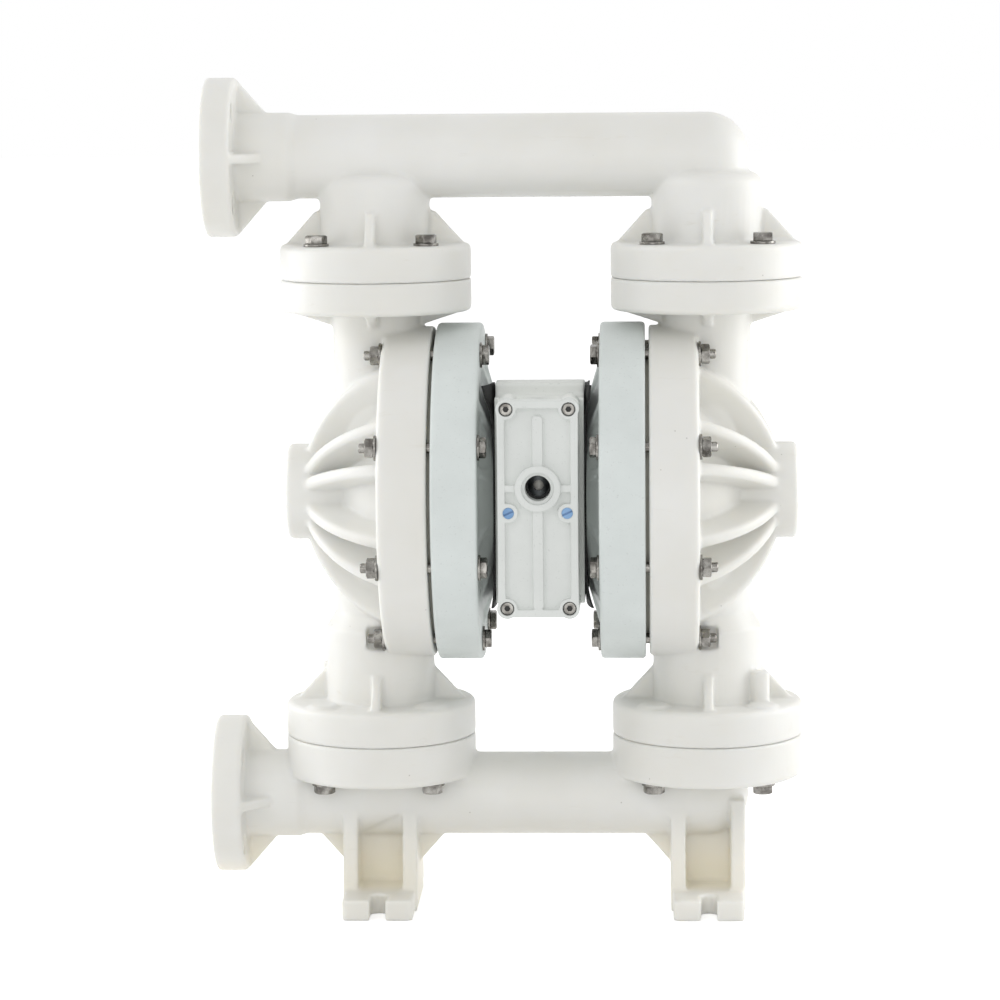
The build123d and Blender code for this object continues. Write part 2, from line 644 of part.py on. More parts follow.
# ---- air caps ----
def air_cap(hand):
    """Painted metal cap between the body and a diaphragm, with a shallow dish on the diaphragm's side."""
    back = AIR_CAP_DEPTH - AIR_RIM_T
    shell = turned(
        [
            (0, 0),
            (AIR_HUB_R, 0),
            (AIR_CONE_R, back),
            (AIR_RIM_R, back),
            (AIR_RIM_R, AIR_CAP_DEPTH),
            (0, AIR_CAP_DEPTH),
        ],
        {3: AIR_RIM_EDGE, 4: AIR_RIM_EDGE},
    )
    rib = plate([(AIR_HUB_R - 6, 0), (AIR_HUB_R, 0), (AIR_RIB_R, back), (AIR_HUB_R - 6, back)], AIR_RIB_T)
    shell += around(rib, AIR_RIBS, 180 / AIR_RIBS)
    dish = turned(
        [
            (0, AIR_FLOOR_T),
            (AIR_FLOOR_R, AIR_FLOOR_T),
            (WEB_OUTER_R, AIR_CAP_DEPTH),
            (0, AIR_CAP_DEPTH),
        ],
        {1: 6.0},
    )
    hole = Pos(0, 0, back) * rod(CHAMBER_BOLT_R + HOLE_CLEARANCE, AIR_RIM_T)
    cuts = [dish, rod(ROD_HOLE_R, AIR_FLOOR_T), Pos(0, PILOT_HEIGHT, 0) * rod(PILOT_HOLE_R, AIR_FLOOR_T)]
    cuts += [place * hole for place in chamber_bolt_places()]
    cuts += [place * cap_screw_hole() for place in cap_screw_places()]
    cuts += [Pos(*air_port_in_hub(hand), 0) * rod(AIR_PORT_R, AIR_FLOOR_T)]
    return along_rod(HUB_X, shell - cuts)


def cap_screw_places():
    y, z = CAP_SCREW_PLACE
    return [Pos(i * y, j * z, 0) for i in (-1, 1) for j in (-1, 1)]


def cap_screw_hole():
    """Stepped hole for a screw whose head lies under the dish's floor."""
    seat_z = AIR_FLOOR_T - CAP_SCREW_HEAD_T - LOOSE
    shank = rod(CAP_SCREW_R + LOOSE, AIR_FLOOR_T)
    return shank + Pos(0, 0, seat_z) * rod(CAP_SCREW_HEAD_R + LOOSE, AIR_FLOOR_T - seat_z)


def air_port_in_hub(hand):
    """Where the air passage meets the hub, about the rod axis; hand is -1 for the piece on the left."""
    return hand * (VALVE_BACK_Y + AIR_PORT_DEPTH), AIR_PORT_PLACE[1]


def cap_screws():
    """Socket screws that hold an air cap to the body."""
    head_x = DISH_FLOOR_X - CAP_SCREW_HEAD_T - LOOSE
    length = head_x - BODY_WIDTH / 2 + CAP_SCREW_GRIP
    screw = rod(CAP_SCREW_HEAD_R, CAP_SCREW_HEAD_T) - Pos(0, 0, CAP_SCREW_HEAD_T - 4) * hexagon(6, 4)
    screw += Pos(0, 0, -length) * rod(CAP_SCREW_R, length)
    return [along_rod(head_x, place * screw) for place in cap_screw_places()]


# ---- diaphragm, plates and rod ----
def diaphragm():
    """Moulded disc: clamped lip, one convolution towards the air side, flat middle."""
    face = -DIAPHRAGM_REST
    back = face - DIAPHRAGM_T
    middle = (WEB_OUTER_R + WEB_INNER_R) / 2
    outer = WEB_OUTER_R - LOOSE
    lines = [
        Polyline(
            (WEB_INNER_R, 0, face),
            (PLATE_SCREW_R + FIT, 0, face),
            (PLATE_SCREW_R + FIT, 0, back),
            (WEB_INNER_R, 0, back),
        ),
        ThreePointArc((WEB_INNER_R, 0, back), (middle, 0, -LIP_T - WEB_SAG), (outer, 0, 0)),
        Polyline((outer, 0, 0), (LIP_R, 0, 0), (LIP_R, 0, LIP_T), (outer, 0, LIP_T)),
        ThreePointArc((outer, 0, LIP_T), (middle, 0, -WEB_SAG), (WEB_INNER_R, 0, face)),
    ]
    return along_rod(AIR_FACE_X, revolve(make_face(lines), Axis.Z))


def air_side_plate():
    """Dished washer between the rod's shoulder and the diaphragm."""
    shape = turned(
        [
            (PLATE_SCREW_R + FIT, 0),
            (AIR_PLATE_HUB_R, 0),
            (AIR_PLATE_HUB_R + 4, AIR_PLATE_T - 7),
            (AIR_PLATE_R - 6, AIR_PLATE_T - 7),
            (AIR_PLATE_R, AIR_PLATE_T - 3),
            (AIR_PLATE_R, AIR_PLATE_T),
            (PLATE_SCREW_R + FIT, AIR_PLATE_T),
        ]
    )
    pad = Pos(0, PILOT_HEIGHT, 0) * rod(PILOT_R + 4, AIR_PLATE_T - 6)
    return along_rod(ROD_END_X, shape + pad)


def fluid_side_plate():
    """Rounded plate on the pumped side of the diaphragm."""
    shape = turned(
        [
            (PLATE_SCREW_R + FIT, 0),
            (FLUID_PLATE_R, 0),
            (FLUID_PLATE_R, FLUID_PLATE_T / 2),
            (PLATE_SCREW_HEAD_R + 10, FLUID_PLATE_T),
            (PLATE_SCREW_R + FIT, FLUID_PLATE_T),
        ],
        {2: PLATE_EDGE},
    )
    return along_rod(DIAPHRAGM_X + DIAPHRAGM_T, shape)


def plate_screw():
    """Bolt that clamps both plates and the diaphragm to the end of the rod."""
    length = SCREW_HEAD_X - ROD_END_X + PLATE_SCREW_DEPTH
    across = 2 * PLATE_SCREW_HEAD_R
    return along_rod(SCREW_HEAD_X, hex_bolt(PLATE_SCREW_R, across, PLATE_SCREW_HEAD_T, length))


def connecting_rod():
    bar = turned([(0, 0), (ROD_R, 0), (ROD_R, 2 * ROD_END_X), (0, 2 * ROD_END_X)])
    bar = chamfer(bar.edges().filter_by(GeomType.CIRCLE), 1.0)
    depth = PLATE_SCREW_DEPTH + 2
    tapped = rod(PLATE_SCREW_R + FIT, depth)
    return along_rod(-ROD_END_X, bar - [tapped, Pos(0, 0, 2 * ROD_END_X - depth) * tapped])


def rod_bush():
    inner = BODY_WIDTH / 2 - SEAL_LENGTH - BUSH_LENGTH
    return along_rod(inner, ring(ROD_R + BUSH_T, ROD_R + FIT, BUSH_LENGTH))


def rod_seal():
    """Lip seal between the bush and the air cap."""
    lip = turned(
        [
            (ROD_R + FIT, 0),
            (ROD_R + BUSH_T, 0),
            (ROD_R + BUSH_T, SEAL_LENGTH),
            (ROD_R + BUSH_T - 1.5, SEAL_LENGTH),
            (ROD_R + BUSH_T / 2, SEAL_LENGTH / 2),
            (ROD_R + FIT + 1, SEAL_LENGTH),
            (ROD_R + FIT, SEAL_LENGTH),
        ]
    )
    return along_rod(BODY_WIDTH / 2 - SEAL_LENGTH, lip)


def pilot_half_length():
    """The plate at the end of its stroke leaves the shifted pilot rod this long."""
    return ROD_END_X - STROKE / 2 + PILOT_TRAVEL - LOOSE


def pilot_rod():
    half = pilot_half_length()
    bar = Pos(0, PILOT_HEIGHT, 0) * rod(PILOT_R, 2 * half)
    bar = chamfer(bar.edges().filter_by(GeomType.CIRCLE), 0.8)
    groove = ring(PILOT_R + 1, PILOT_R - 1, PILOT_GROOVE_LENGTH)
    groove = Pos(0, PILOT_HEIGHT, half - PILOT_GROOVE_LENGTH / 2) * groove
    return along_rod(-half, bar - groove)


def pilot_bush():
    bush = Pos(0, PILOT_HEIGHT, 0) * ring(PILOT_BUSH_R, PILOT_R + FIT, PILOT_BUSH_LENGTH)
    return along_rod(BODY_WIDTH / 2 - PILOT_BUSH_LENGTH, bush)


# ---- centre body ----
def center_body():
    """Cast block between the air caps, with the rod and pilot bores and the air passages."""
    low = AXIS_Z - BODY_HALF_HEIGHT
    body = Pos(0, 0, low) * Box(BODY_WIDTH, BODY_DEPTH, 2 * BODY_HALF_HEIGHT, align=STAND)
    roof_y = (BODY_ROOF_FRONT + BODY_ROOF_BACK) / 2
    roof = Box(BODY_WIDTH, BODY_ROOF_BACK - BODY_ROOF_FRONT, BODY_ROOF_RISE, align=STAND)
    body += Pos(0, roof_y, AXIS_Z + BODY_HALF_HEIGHT) * roof
    body = fillet(body.edges().filter_by(Axis.X), 3.0)
    half = BODY_WIDTH / 2
    bush_bore = rod(ROD_R + BUSH_T, BUSH_LENGTH + SEAL_LENGTH)
    pilot_bore = Pos(0, PILOT_HEIGHT, 0) * rod(PILOT_BUSH_R, PILOT_BUSH_LENGTH)
    cuts = [
        along_rod(-half, rod(ROD_HOLE_R, BODY_WIDTH)),
        along_rod(-half, Pos(0, PILOT_HEIGHT, 0) * rod(PILOT_HOLE_R, BODY_WIDTH)),
        facing_front(0, BODY_DEPTH / 2, AXIS_Z - EXHAUST_DROP, rod(EXHAUST_R, BODY_DEPTH)),
    ]
    cuts += both_sides(
        [
            along_rod(half - BUSH_LENGTH - SEAL_LENGTH, bush_bore),
            along_rod(half - PILOT_BUSH_LENGTH, pilot_bore),
        ]
    )
    tapped = rod(CAP_SCREW_R + FIT, CAP_SCREW_GRIP + 2)
    for place in cap_screw_places():
        cuts += both_sides([along_rod(half - CAP_SCREW_GRIP - 2, place * tapped)])
    cuts += air_passages()
    x, z = VALVE_SCREW_PLACE
    depth = VALVE_SCREW_GRIP + 2
    cuts += [
        facing_front(i * x, VALVE_BACK_Y + depth, AXIS_Z + j * z, rod(VALVE_SCREW_R + FIT, depth))
        for i in (-1, 1)
        for j in (-1, 1)
    ]
    return body - cuts


def air_passages():
    """From each port in the valve face back into the body, then sideways to the air cap."""
    x, z = AIR_PORT_PLACE
    y = VALVE_BACK_Y + AIR_PORT_DEPTH
    cuts = []
    for side in (-1, 1):
        cuts += [facing_front(side * x, y, AXIS_Z + z, rod(AIR_PORT_R, AIR_PORT_DEPTH))]
        cuts += [Pos(side * x, y, AXIS_Z + z) * Sphere(AIR_PORT_R)]
        reach = BODY_WIDTH / 2 - x
        start = x if side > 0 else -BODY_WIDTH / 2
        cuts += [along_rod(start, Pos(y, z, 0) * rod(AIR_PORT_R, reach))]
    return cuts


def body_gasket(hand):
    """Flat gasket between the body and an air cap; it stands a little above and below the body."""
    height = 2 * (BODY_HALF_HEIGHT + BODY_GASKET_OVERHANG)
    sheet = Box(BODY_DEPTH - 8, height, BODY_GASKET_T, align=STAND)
    y, z = air_port_in_hub(hand)
    cuts = [rod(ROD_HOLE_R, BODY_GASKET_T), Pos(0, PILOT_HEIGHT, 0) * rod(PILOT_HOLE_R, BODY_GASKET_T)]
    cuts += [Pos(y, z, 0) * rod(AIR_PORT_R, BODY_GASKET_T)]
    cuts += [place * rod(CAP_SCREW_R + LOOSE, BODY_GASKET_T) for place in cap_screw_places()]
    return along_rod(BODY_WIDTH / 2, sheet - cuts)


# ---- air valve, seen from the front with x to the right and y up from the rod axis ----
def valve_outline(half_width, half_height, thickness):
    box = Box(2 * half_width, 2 * half_height, thickness, align=STAND)
    return fillet(box.edges().filter_by(Axis.Z), VALVE_CORNER_R - 1.0)


def screw_places():
    x, z = VALVE_SCREW_PLACE
    return [Pos(i * x, j * z, 0) for i in (-1, 1) for j in (-1, 1)]


def air_port_places():
    x, z = AIR_PORT_PLACE
    return [Pos(side * x, z, 0) for side in (-1, 1)]


def valve_block():
    """Block that holds the spool sleeve, with a column round each screw."""
    inset = BLOCK_INSET
    block = valve_outline(VALVE_HALF_WIDTH - inset, VALVE_HALF_HEIGHT - inset, BLOCK_T)
    block += [place * rod(VALVE_BOSS_R, BLOCK_T) for place in screw_places()]
    sleeve = Cylinder(SLEEVE_R + FIT, 3 * VALVE_HALF_HEIGHT, rotation=(90, 0, 0))
    cuts = [Pos(0, 0, BLOCK_T / 2) * sleeve]
    cuts += [place * rod(VALVE_SCREW_R + LOOSE, BLOCK_T) for place in screw_places()]
    cuts += [place * rod(AIR_PORT_R, BLOCK_T / 2) for place in air_port_places()]
    cuts += [Pos(0, -EXHAUST_DROP, 0) * rod(EXHAUST_R, BLOCK_T / 2)]
    cuts += [Pos(0, INLET_HEIGHT, BLOCK_T / 2) * rod(INLET_PASSAGE_R, BLOCK_T / 2)]
    return facing_front(0, BLOCK_BACK_Y, AXIS_Z, block - cuts)


def valve_gasket(y, ports):
    """Gasket of the valve's outline behind the block or behind the cover."""
    inset = BLOCK_INSET - 1
    sheet = valve_outline(VALVE_HALF_WIDTH - inset, VALVE_HALF_HEIGHT - inset, VALVE_GASKET_T)
    cuts = [place * rod(VALVE_SCREW_R + LOOSE, VALVE_GASKET_T) for place in screw_places()] + ports
    return facing_front(0, y, AXIS_Z, sheet - cuts)


def block_gasket():
    ports = [place * rod(AIR_PORT_R, VALVE_GASKET_T) for place in air_port_places()]
    ports += [Pos(0, -EXHAUST_DROP, 0) * rod(EXHAUST_R, VALVE_GASKET_T)]
    return valve_gasket(VALVE_BACK_Y, ports)


def cover_gasket():
    return valve_gasket(BLOCK_FRONT_Y, [Pos(0, INLET_HEIGHT, 0) * rod(INLET_PASSAGE_R, VALVE_GASKET_T)])


def cover_rib(low, high):
    """Upright rib on the cover between two heights over the rod axis."""
    rib = Box(COVER_RIB_T, high - low, COVER_T - COVER_RIB_DROP, align=STAND)
    return Pos(0, (low + high) / 2, 0) * fillet(rib.edges().filter_by(Axis.Z), COVER_RIB_END_R)


def valve_cover():
    """Cover with a sunk floor, corner bosses, the air inlet and its ribs."""
    floor_z = COVER_T - COVER_RECESS
    cover = valve_outline(VALVE_HALF_WIDTH, VALVE_HALF_HEIGHT, COVER_T)
    half_width, half_height = VALVE_HALF_WIDTH - COVER_BORDER, VALVE_HALF_HEIGHT - COVER_BORDER
    inner = Box(2 * half_width, 2 * half_height, COVER_RECESS, align=STAND)
    cover -= Pos(0, 0, floor_z) * fillet(inner.edges().filter_by(Axis.Z), 2.0)
    cover += [place * rod(VALVE_BOSS_R, COVER_T) for place in screw_places()]
    cover += [place * rod(TRIM_BOSS_R, COVER_T) for place in trim_plug_places()]
    cover += Pos(0, INLET_HEIGHT, 0) * rod(INLET_BOSS_R, COVER_T + INLET_BOSS_RISE)
    cover += cover_rib(-half_height, INLET_HEIGHT)
    cover += cover_rib(INLET_HEIGHT, COVER_RIB_TOP)
    cross_rib = Box(2 * half_width + COVER_BORDER, COVER_CROSS_RIB_T, COVER_T - COVER_RIB_DROP, align=STAND)
    cover += Pos(0, INLET_HEIGHT, 0) * cross_rib
    mouth_z = COVER_T + INLET_BOSS_RISE - INLET_MOUTH_T
    mouth = Pos(0, INLET_HEIGHT, mouth_z) * rod(INLET_MOUTH_R, INLET_MOUTH_T)
    cuts = [mouth, Pos(0, INLET_HEIGHT, 0) * rod(INLET_R, COVER_T + INLET_BOSS_RISE)]
    head_z = COVER_T - VALVE_SCREW_HEAD_T - VALVE_SCREW_SINK
    for place in screw_places():
        cuts += [place * rod(VALVE_SCREW_R + LOOSE, COVER_T)]
        cuts += [place * Pos(0, 0, head_z) * rod(VALVE_SCREW_HEAD_R + VALVE_SCREW_ROOM, COVER_T - head_z)]
    pocket = Pos(0, 0, COVER_T - TRIM_PLUG_LENGTH) * rod(TRIM_PLUG_R + FIT, TRIM_PLUG_LENGTH)
    cuts += [place * pocket for place in trim_plug_places()]
    return facing_front(0, COVER_BACK_Y, AXIS_Z, cover - cuts)


def valve_screws():
    """Socket screws through cover and block into the body."""
    head_z = COVER_T - VALVE_SCREW_HEAD_T - VALVE_SCREW_SINK
    length = VALVE_BACK_Y + VALVE_SCREW_GRIP - (COVER_BACK_Y - head_z)
    socket = Pos(0, 0, VALVE_SCREW_HEAD_T - 3.5) * hexagon(5.0, 3.5)
    screw = rod(VALVE_SCREW_HEAD_R, VALVE_SCREW_HEAD_T) - socket
    screw += Pos(0, 0, -length) * rod(VALVE_SCREW_R, length)
    return [facing_front(0, COVER_BACK_Y - head_z, AXIS_Z, place * screw) for place in screw_places()]


def trim_plug_places():
    x, z = TRIM_PLUG_PLACE
    return [Pos(side * x, z, 0) for side in (-1, 1)]


def trim_plugs():
    """Slotted plastic plugs in the cover."""
    plug = rod(TRIM_PLUG_R, TRIM_PLUG_LENGTH - LOOSE)
    slot = Box(2 * TRIM_PLUG_R, TRIM_PLUG_SLOT, TRIM_PLUG_SLOT, align=STAND)
    plug -= Pos(0, 0, TRIM_PLUG_LENGTH - LOOSE - TRIM_PLUG_SLOT) * (Rot(0, 0, 25) * slot)
    y = COVER_FRONT_Y + TRIM_PLUG_LENGTH
    return [facing_front(0, y, AXIS_Z, place * plug) for place in trim_plug_places()]


def sleeve_half_length():
    return VALVE_HALF_HEIGHT - BLOCK_INSET - END_PLUG_T


def in_block(shape):
    """Stand a shape made about z on the spool axis, z = 0 at the rod axis."""
    return Pos(0, SPOOL_Y, AXIS_Z) * shape


def spool_sleeve():
    """Ported sleeve that fills the bore of the block."""
    half = sleeve_half_length()
    sleeve = Pos(0, 0, -half) * ring(SLEEVE_R, SPOOL_R + FIT, 2 * half)
    ports = []
    port = Cylinder(SLEEVE_PORT_R, 3 * SLEEVE_R, rotation=(90, 0, 0))
    cross = [port, Rot(0, 0, 90) * port]
    for z in (INLET_HEIGHT, AIR_PORT_PLACE[1], -EXHAUST_DROP):
        ports += [Pos(0, 0, z) * hole for hole in cross]
    return in_block(sleeve - ports)


def valve_spool():
    """Spool with three lands, which the air shifts up and down."""
    half = SPOOL_LENGTH / 2
    waist = (SPOOL_LENGTH - 3 * SPOOL_LAND) / 2
    spool = Pos(0, 0, -half) * rod(SPOOL_R, SPOOL_LENGTH)
    groove = ring(SPOOL_R + 1, SPOOL_WAIST_R, waist)
    spool -= [Pos(0, 0, SPOOL_LAND / 2) * groove, Pos(0, 0, -SPOOL_LAND / 2 - waist) * groove]
    return in_block(spool)


def end_plugs():
    """Plugs that close the spool bore at the top and the bottom of the block."""
    plug = rod(SLEEVE_R, END_PLUG_T) - Pos(0, 0, END_PLUG_T - 5) * hexagon(10.0, 5)
    plug = Pos(0, 0, sleeve_half_length()) * plug
    return [in_block(plug), in_block(Rot(180, 0, 0) * plug)]


# ---- exhaust ----
def muffler():
    """Moulded silencer screwed into the back of the body."""
    neck = rod(EXHAUST_R - FIT, MUFFLER_NECK_LENGTH)
    base = Pos(0, 0, MUFFLER_NECK_LENGTH) * hexagon(MUFFLER_HEX_AF, MUFFLER_HEX_T)
    start = MUFFLER_NECK_LENGTH + MUFFLER_HEX_T
    can = turned(
        [(0, 0), (MUFFLER_R, 0), (MUFFLER_R, MUFFLER_LENGTH), (0, MUFFLER_LENGTH)],
        {2: MUFFLER_EDGE},
    )
    pitch = (MUFFLER_LENGTH - MUFFLER_END_T) / (MUFFLER_GROOVES + 1)
    groove = ring(MUFFLER_R + 1, MUFFLER_R - MUFFLER_GROOVE, MUFFLER_GROOVE)
    can -= [Pos(0, 0, pitch * (i + 1)) * groove for i in range(MUFFLER_GROOVES)]
    bore = rod(EXHAUST_R - 4, start + MUFFLER_LENGTH - MUFFLER_END_T)
    shape = neck + base + Pos(0, 0, start) * can - bore
    start_y = BODY_DEPTH / 2 - MUFFLER_NECK_LENGTH
    return Plane(origin=(0, start_y, AXIS_Z - EXHAUST_DROP), x_dir=(1, 0, 0), z_dir=(0, 1, 0)) * shape


# ---- fasteners ----
def washer(outer, bolt, thickness):
    return ring(outer, bolt + LOOSE, thickness)


def chamber_bolts():
    """Bolts through both rims, heads towards the centre body."""
    grip = AIR_RIM_T + LIP_T + FLUID_RIM_T + CHAMBER_WASHER_T
    length = grip + CHAMBER_WASHER_T + CHAMBER_NUT_T + CHAMBER_THREAD_OUT
    bolt = Rot(180, 0, 0) * hex_bolt(CHAMBER_BOLT_R, CHAMBER_BOLT_AF, CHAMBER_HEAD_T, length)
    x = AIR_FACE_X - AIR_RIM_T - CHAMBER_WASHER_T
    return both_sides([along_rod(x, place * bolt) for place in chamber_bolt_places()])


def chamber_nuts():
    nut = hexagon(CHAMBER_BOLT_AF, CHAMBER_NUT_T) - rod(CHAMBER_BOLT_R + FIT, CHAMBER_NUT_T)
    x = FLUID_FACE_X + FLUID_RIM_T + CHAMBER_WASHER_T
    return both_sides([along_rod(x, place * nut) for place in chamber_bolt_places()])


def chamber_washers():
    flat = washer(CHAMBER_WASHER_R, CHAMBER_BOLT_R, CHAMBER_WASHER_T)
    inner_x = AIR_FACE_X - AIR_RIM_T - CHAMBER_WASHER_T
    outer_x = FLUID_FACE_X + FLUID_RIM_T
    places = chamber_bolt_places()
    return both_sides([along_rod(x, place * flat) for x in (inner_x, outer_x) for place in places])


def joint_places(z):
    """Where the bolts of the two joints at height z stand."""
    return [
        Pos(side * COLUMN_X + i * JOINT_BOLT_OFFSET, j * JOINT_BOLT_OFFSET, z)
        for side in (-1, 1)
        for i in (-1, 1)
        for j in (-1, 1)
    ]


def joint_bolt(flange):
    length = flange + JOINT_WASHER_T + INSERT_LENGTH - 2
    return hex_bolt(JOINT_BOLT_R, JOINT_BOLT_AF, JOINT_HEAD_T, length)


def upper_joint_bolts():
    z = UPPER_JOINT_Z + OUTLET_FLANGE_T + JOINT_WASHER_T
    return [place * joint_bolt(OUTLET_FLANGE_T) for place in joint_places(z)]


def lower_joint_bolts():
    z = LOWER_JOINT_Z - INLET_FLANGE_T - JOINT_WASHER_T
    return [place * (Rot(180, 0, 0) * joint_bolt(INLET_FLANGE_T)) for place in joint_places(z)]


def joint_washers():
    flat = washer(JOINT_WASHER_R, JOINT_BOLT_R, JOINT_WASHER_T)
    low = LOWER_JOINT_Z - INLET_FLANGE_T - JOINT_WASHER_T
    high = UPPER_JOINT_Z + OUTLET_FLANGE_T
    return [place * flat for z in (low, high) for place in joint_places(z)]


def joint_inserts():
    """Metal threads moulded into the caps' flanges."""
    insert = ring(INSERT_R, JOINT_BOLT_R + FIT, INSERT_LENGTH)
    low = [place * insert for place in joint_places(LOWER_JOINT_Z)]
    return low + [place * insert for place in joint_places(UPPER_JOINT_Z - INSERT_LENGTH)]


# ---- the pump ----
def main():
    paired = {
        "fluid_cap": fluid_cap(),
        "diaphragm": diaphragm(),
        "air_side_plate": air_side_plate(),
        "fluid_side_plate": fluid_side_plate(),
        "outlet_seat": column(UPPER_JOINT_Z, seat()),
        "inlet_seat": column(LOWER_JOINT_Z, seat()),
        "outlet_ball": column(0, ball(UPPER_JOINT_Z)),
        "inlet_ball": column(0, ball(LOWER_JOINT_Z)),
    }
    for name, shape in paired.items():
        save(f"{name}_right", shape)
        save(f"{name}_left", other_side(shape))
    for name, make in {"air_cap": air_cap, "body_gasket": body_gasket}.items():
        save(f"{name}_right", make(1))
        save(f"{name}_left", other_side(make(-1)))
    save("inlet_manifold", inlet_manifold())
    save("outlet_manifold", outlet_manifold())
    save("center_body", center_body())
    save("rod_bushes", both_sides([rod_bush()]))
    save("rod_seals", both_sides([rod_seal()]))
    save("connecting_rod", connecting_rod())
    save("plate_screws", both_sides([plate_screw()]))
    save("pilot_rod", pilot_rod())
    save("pilot_bushes", both_sides([pilot_bush()]))
    save("valve_block", valve_block())
    save("valve_cover", valve_cover())
    save("block_gasket", block_gasket())
    save("cover_gasket", cover_gasket())
    save("spool_sleeve", spool_sleeve())
    save("valve_spool", valve_spool())
    save("spool_end_plugs", end_plugs())
    save("trim_plugs", trim_plugs())
    save("muffler", muffler())
    save("valve_screws", valve_screws())
    save("air_cap_screws", both_sides(cap_screws()))
    save("chamber_bolts", chamber_bolts())
    save("chamber_nuts", chamber_nuts())
    save("chamber_washers", chamber_washers())
    save("upper_joint_bolts", upper_joint_bolts())
    save("lower_joint_bolts", lower_joint_bolts())
    save("joint_washers", joint_washers())
    save("joint_inserts", joint_inserts())


main()
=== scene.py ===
"""Looks of an air operated diaphragm pump.

Moulded polypropylene wetted parts, a painted air motor and stainless fasteners. Lengths are in
metres. X runs along the diaphragm rod, Y to the rear and Z up, as in the solids.
"""

import json
from math import cos, pi, radians, sin, sqrt

import bpy
from mathutils import Matrix, Vector
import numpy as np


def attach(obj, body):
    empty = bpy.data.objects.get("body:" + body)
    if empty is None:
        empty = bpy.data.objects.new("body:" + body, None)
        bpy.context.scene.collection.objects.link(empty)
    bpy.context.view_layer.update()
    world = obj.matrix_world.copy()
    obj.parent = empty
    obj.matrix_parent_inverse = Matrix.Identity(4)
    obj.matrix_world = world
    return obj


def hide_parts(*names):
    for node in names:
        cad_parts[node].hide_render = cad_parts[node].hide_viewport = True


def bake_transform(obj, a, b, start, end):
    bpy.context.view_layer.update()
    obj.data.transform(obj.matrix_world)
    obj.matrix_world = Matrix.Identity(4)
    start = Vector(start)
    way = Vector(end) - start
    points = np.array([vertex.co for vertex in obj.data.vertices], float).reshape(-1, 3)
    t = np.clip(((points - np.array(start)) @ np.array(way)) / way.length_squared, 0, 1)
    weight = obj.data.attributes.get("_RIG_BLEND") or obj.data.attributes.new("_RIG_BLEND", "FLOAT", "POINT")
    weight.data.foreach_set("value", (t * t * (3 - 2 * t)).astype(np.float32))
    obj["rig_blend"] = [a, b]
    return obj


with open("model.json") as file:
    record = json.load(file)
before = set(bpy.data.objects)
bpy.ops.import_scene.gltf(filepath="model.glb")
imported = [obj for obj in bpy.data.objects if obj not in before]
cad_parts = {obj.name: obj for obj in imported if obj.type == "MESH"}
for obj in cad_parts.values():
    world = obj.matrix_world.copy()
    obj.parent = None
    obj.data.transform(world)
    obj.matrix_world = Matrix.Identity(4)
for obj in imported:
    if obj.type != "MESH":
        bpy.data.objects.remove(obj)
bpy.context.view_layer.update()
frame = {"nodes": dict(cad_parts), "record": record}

MM = 0.001

# ---- places on the pump ----
ROD_HEIGHT = 405.0 * MM
COLUMN_X = 159.0 * MM
CHAMBER_BOLT_CIRCLE = 147.2 * MM
CHAMBER_BOLTS = 8
JOINT_BOLT_OFFSET = 52.1 * MM
AIR_RIM_BACK_X = 56.5 * MM
FLUID_RIM_BACK_X = 150.2 * MM
OUTLET_FLANGE_TOP_Z = 644.7 * MM
INLET_FLANGE_BOTTOM_Z = 127.8 * MM
BODY_HALF_HEIGHT = 98.0 * MM
DIAPHRAGM_WEB = (76.0 * MM, 119.0 * MM)  # inner and outer radius
DIAPHRAGM_LIP_R = 133.0 * MM
DIAPHRAGM_RIM_R = 141.0 * MM  # the lip swells to the bolts once it is clamped
BLOCK_Y = (-128.0 * MM, -87.5 * MM)  # the valve block's front and back
BLOCK_FLANGE = (37.0 * MM, 100.4 * MM, 5.0 * MM)  # half width, half height, thickness
BLOCK_HALF_HEIGHT = 97.0 * MM
AIR_PASSAGE = (10.0 * MM, 19.4 * MM)  # radius, height over the rod
VALVE_SCREW_PLACE = (29.0 * MM, 93.0 * MM)  # to the side of the valve's middle and up or down from it
VALVE_SOCKET_Y = (-147.2 * MM, -143.4 * MM)  # mouth and floor of the screws' sockets
VALVE_SOCKET_R = 2.95 * MM


# ---- selection and modifiers ----
def only(*pieces):
    """Selects these pieces and nothing else."""
    bpy.ops.object.select_all(action="DESELECT")
    for piece in pieces:
        piece.select_set(True)
    bpy.context.view_layer.objects.active = pieces[0]


def apply(piece, kind, **settings):
    """Adds a modifier and applies it."""
    only(piece)
    modifier = piece.modifiers.new(kind.lower(), kind)
    for name, value in settings.items():
        setattr(modifier, name, value)
    bpy.ops.object.modifier_apply(modifier=modifier.name)


def newest(name):
    """The piece that the last operator added, named, with nothing else selected."""
    piece = bpy.context.active_object
    piece.name = piece.data.name = name
    only(piece)
    return piece


def edit(piece, *steps):
    """Runs operators in edit mode on the whole mesh; each step is (operator, settings)."""
    only(piece)
    bpy.ops.object.mode_set(mode="EDIT")
    bpy.ops.mesh.select_all(action="SELECT")
    for operator, settings in steps:
        operator(**settings)
    bpy.ops.object.mode_set(mode="OBJECT")


def rotation(angle, axis):
    """Edit step that turns a whole mesh about the origin by so many degrees."""
    settings = {"value": radians(angle), "orient_axis": axis, "center_override": (0, 0, 0)}
    return bpy.ops.transform.rotate, settings


def merged(node, name):
    """A copy of a solid's mesh with its loose triangles joined up."""
    piece = bpy.data.objects.new(name, frame["nodes"][node].data.copy())
    piece.data.name = name
    bpy.context.collection.objects.link(piece)
    only(piece)
    bpy.ops.mesh.customdata_custom_splitnormals_clear()
    edit(piece, (bpy.ops.mesh.remove_doubles, {"threshold": 2e-6}))
    return piece


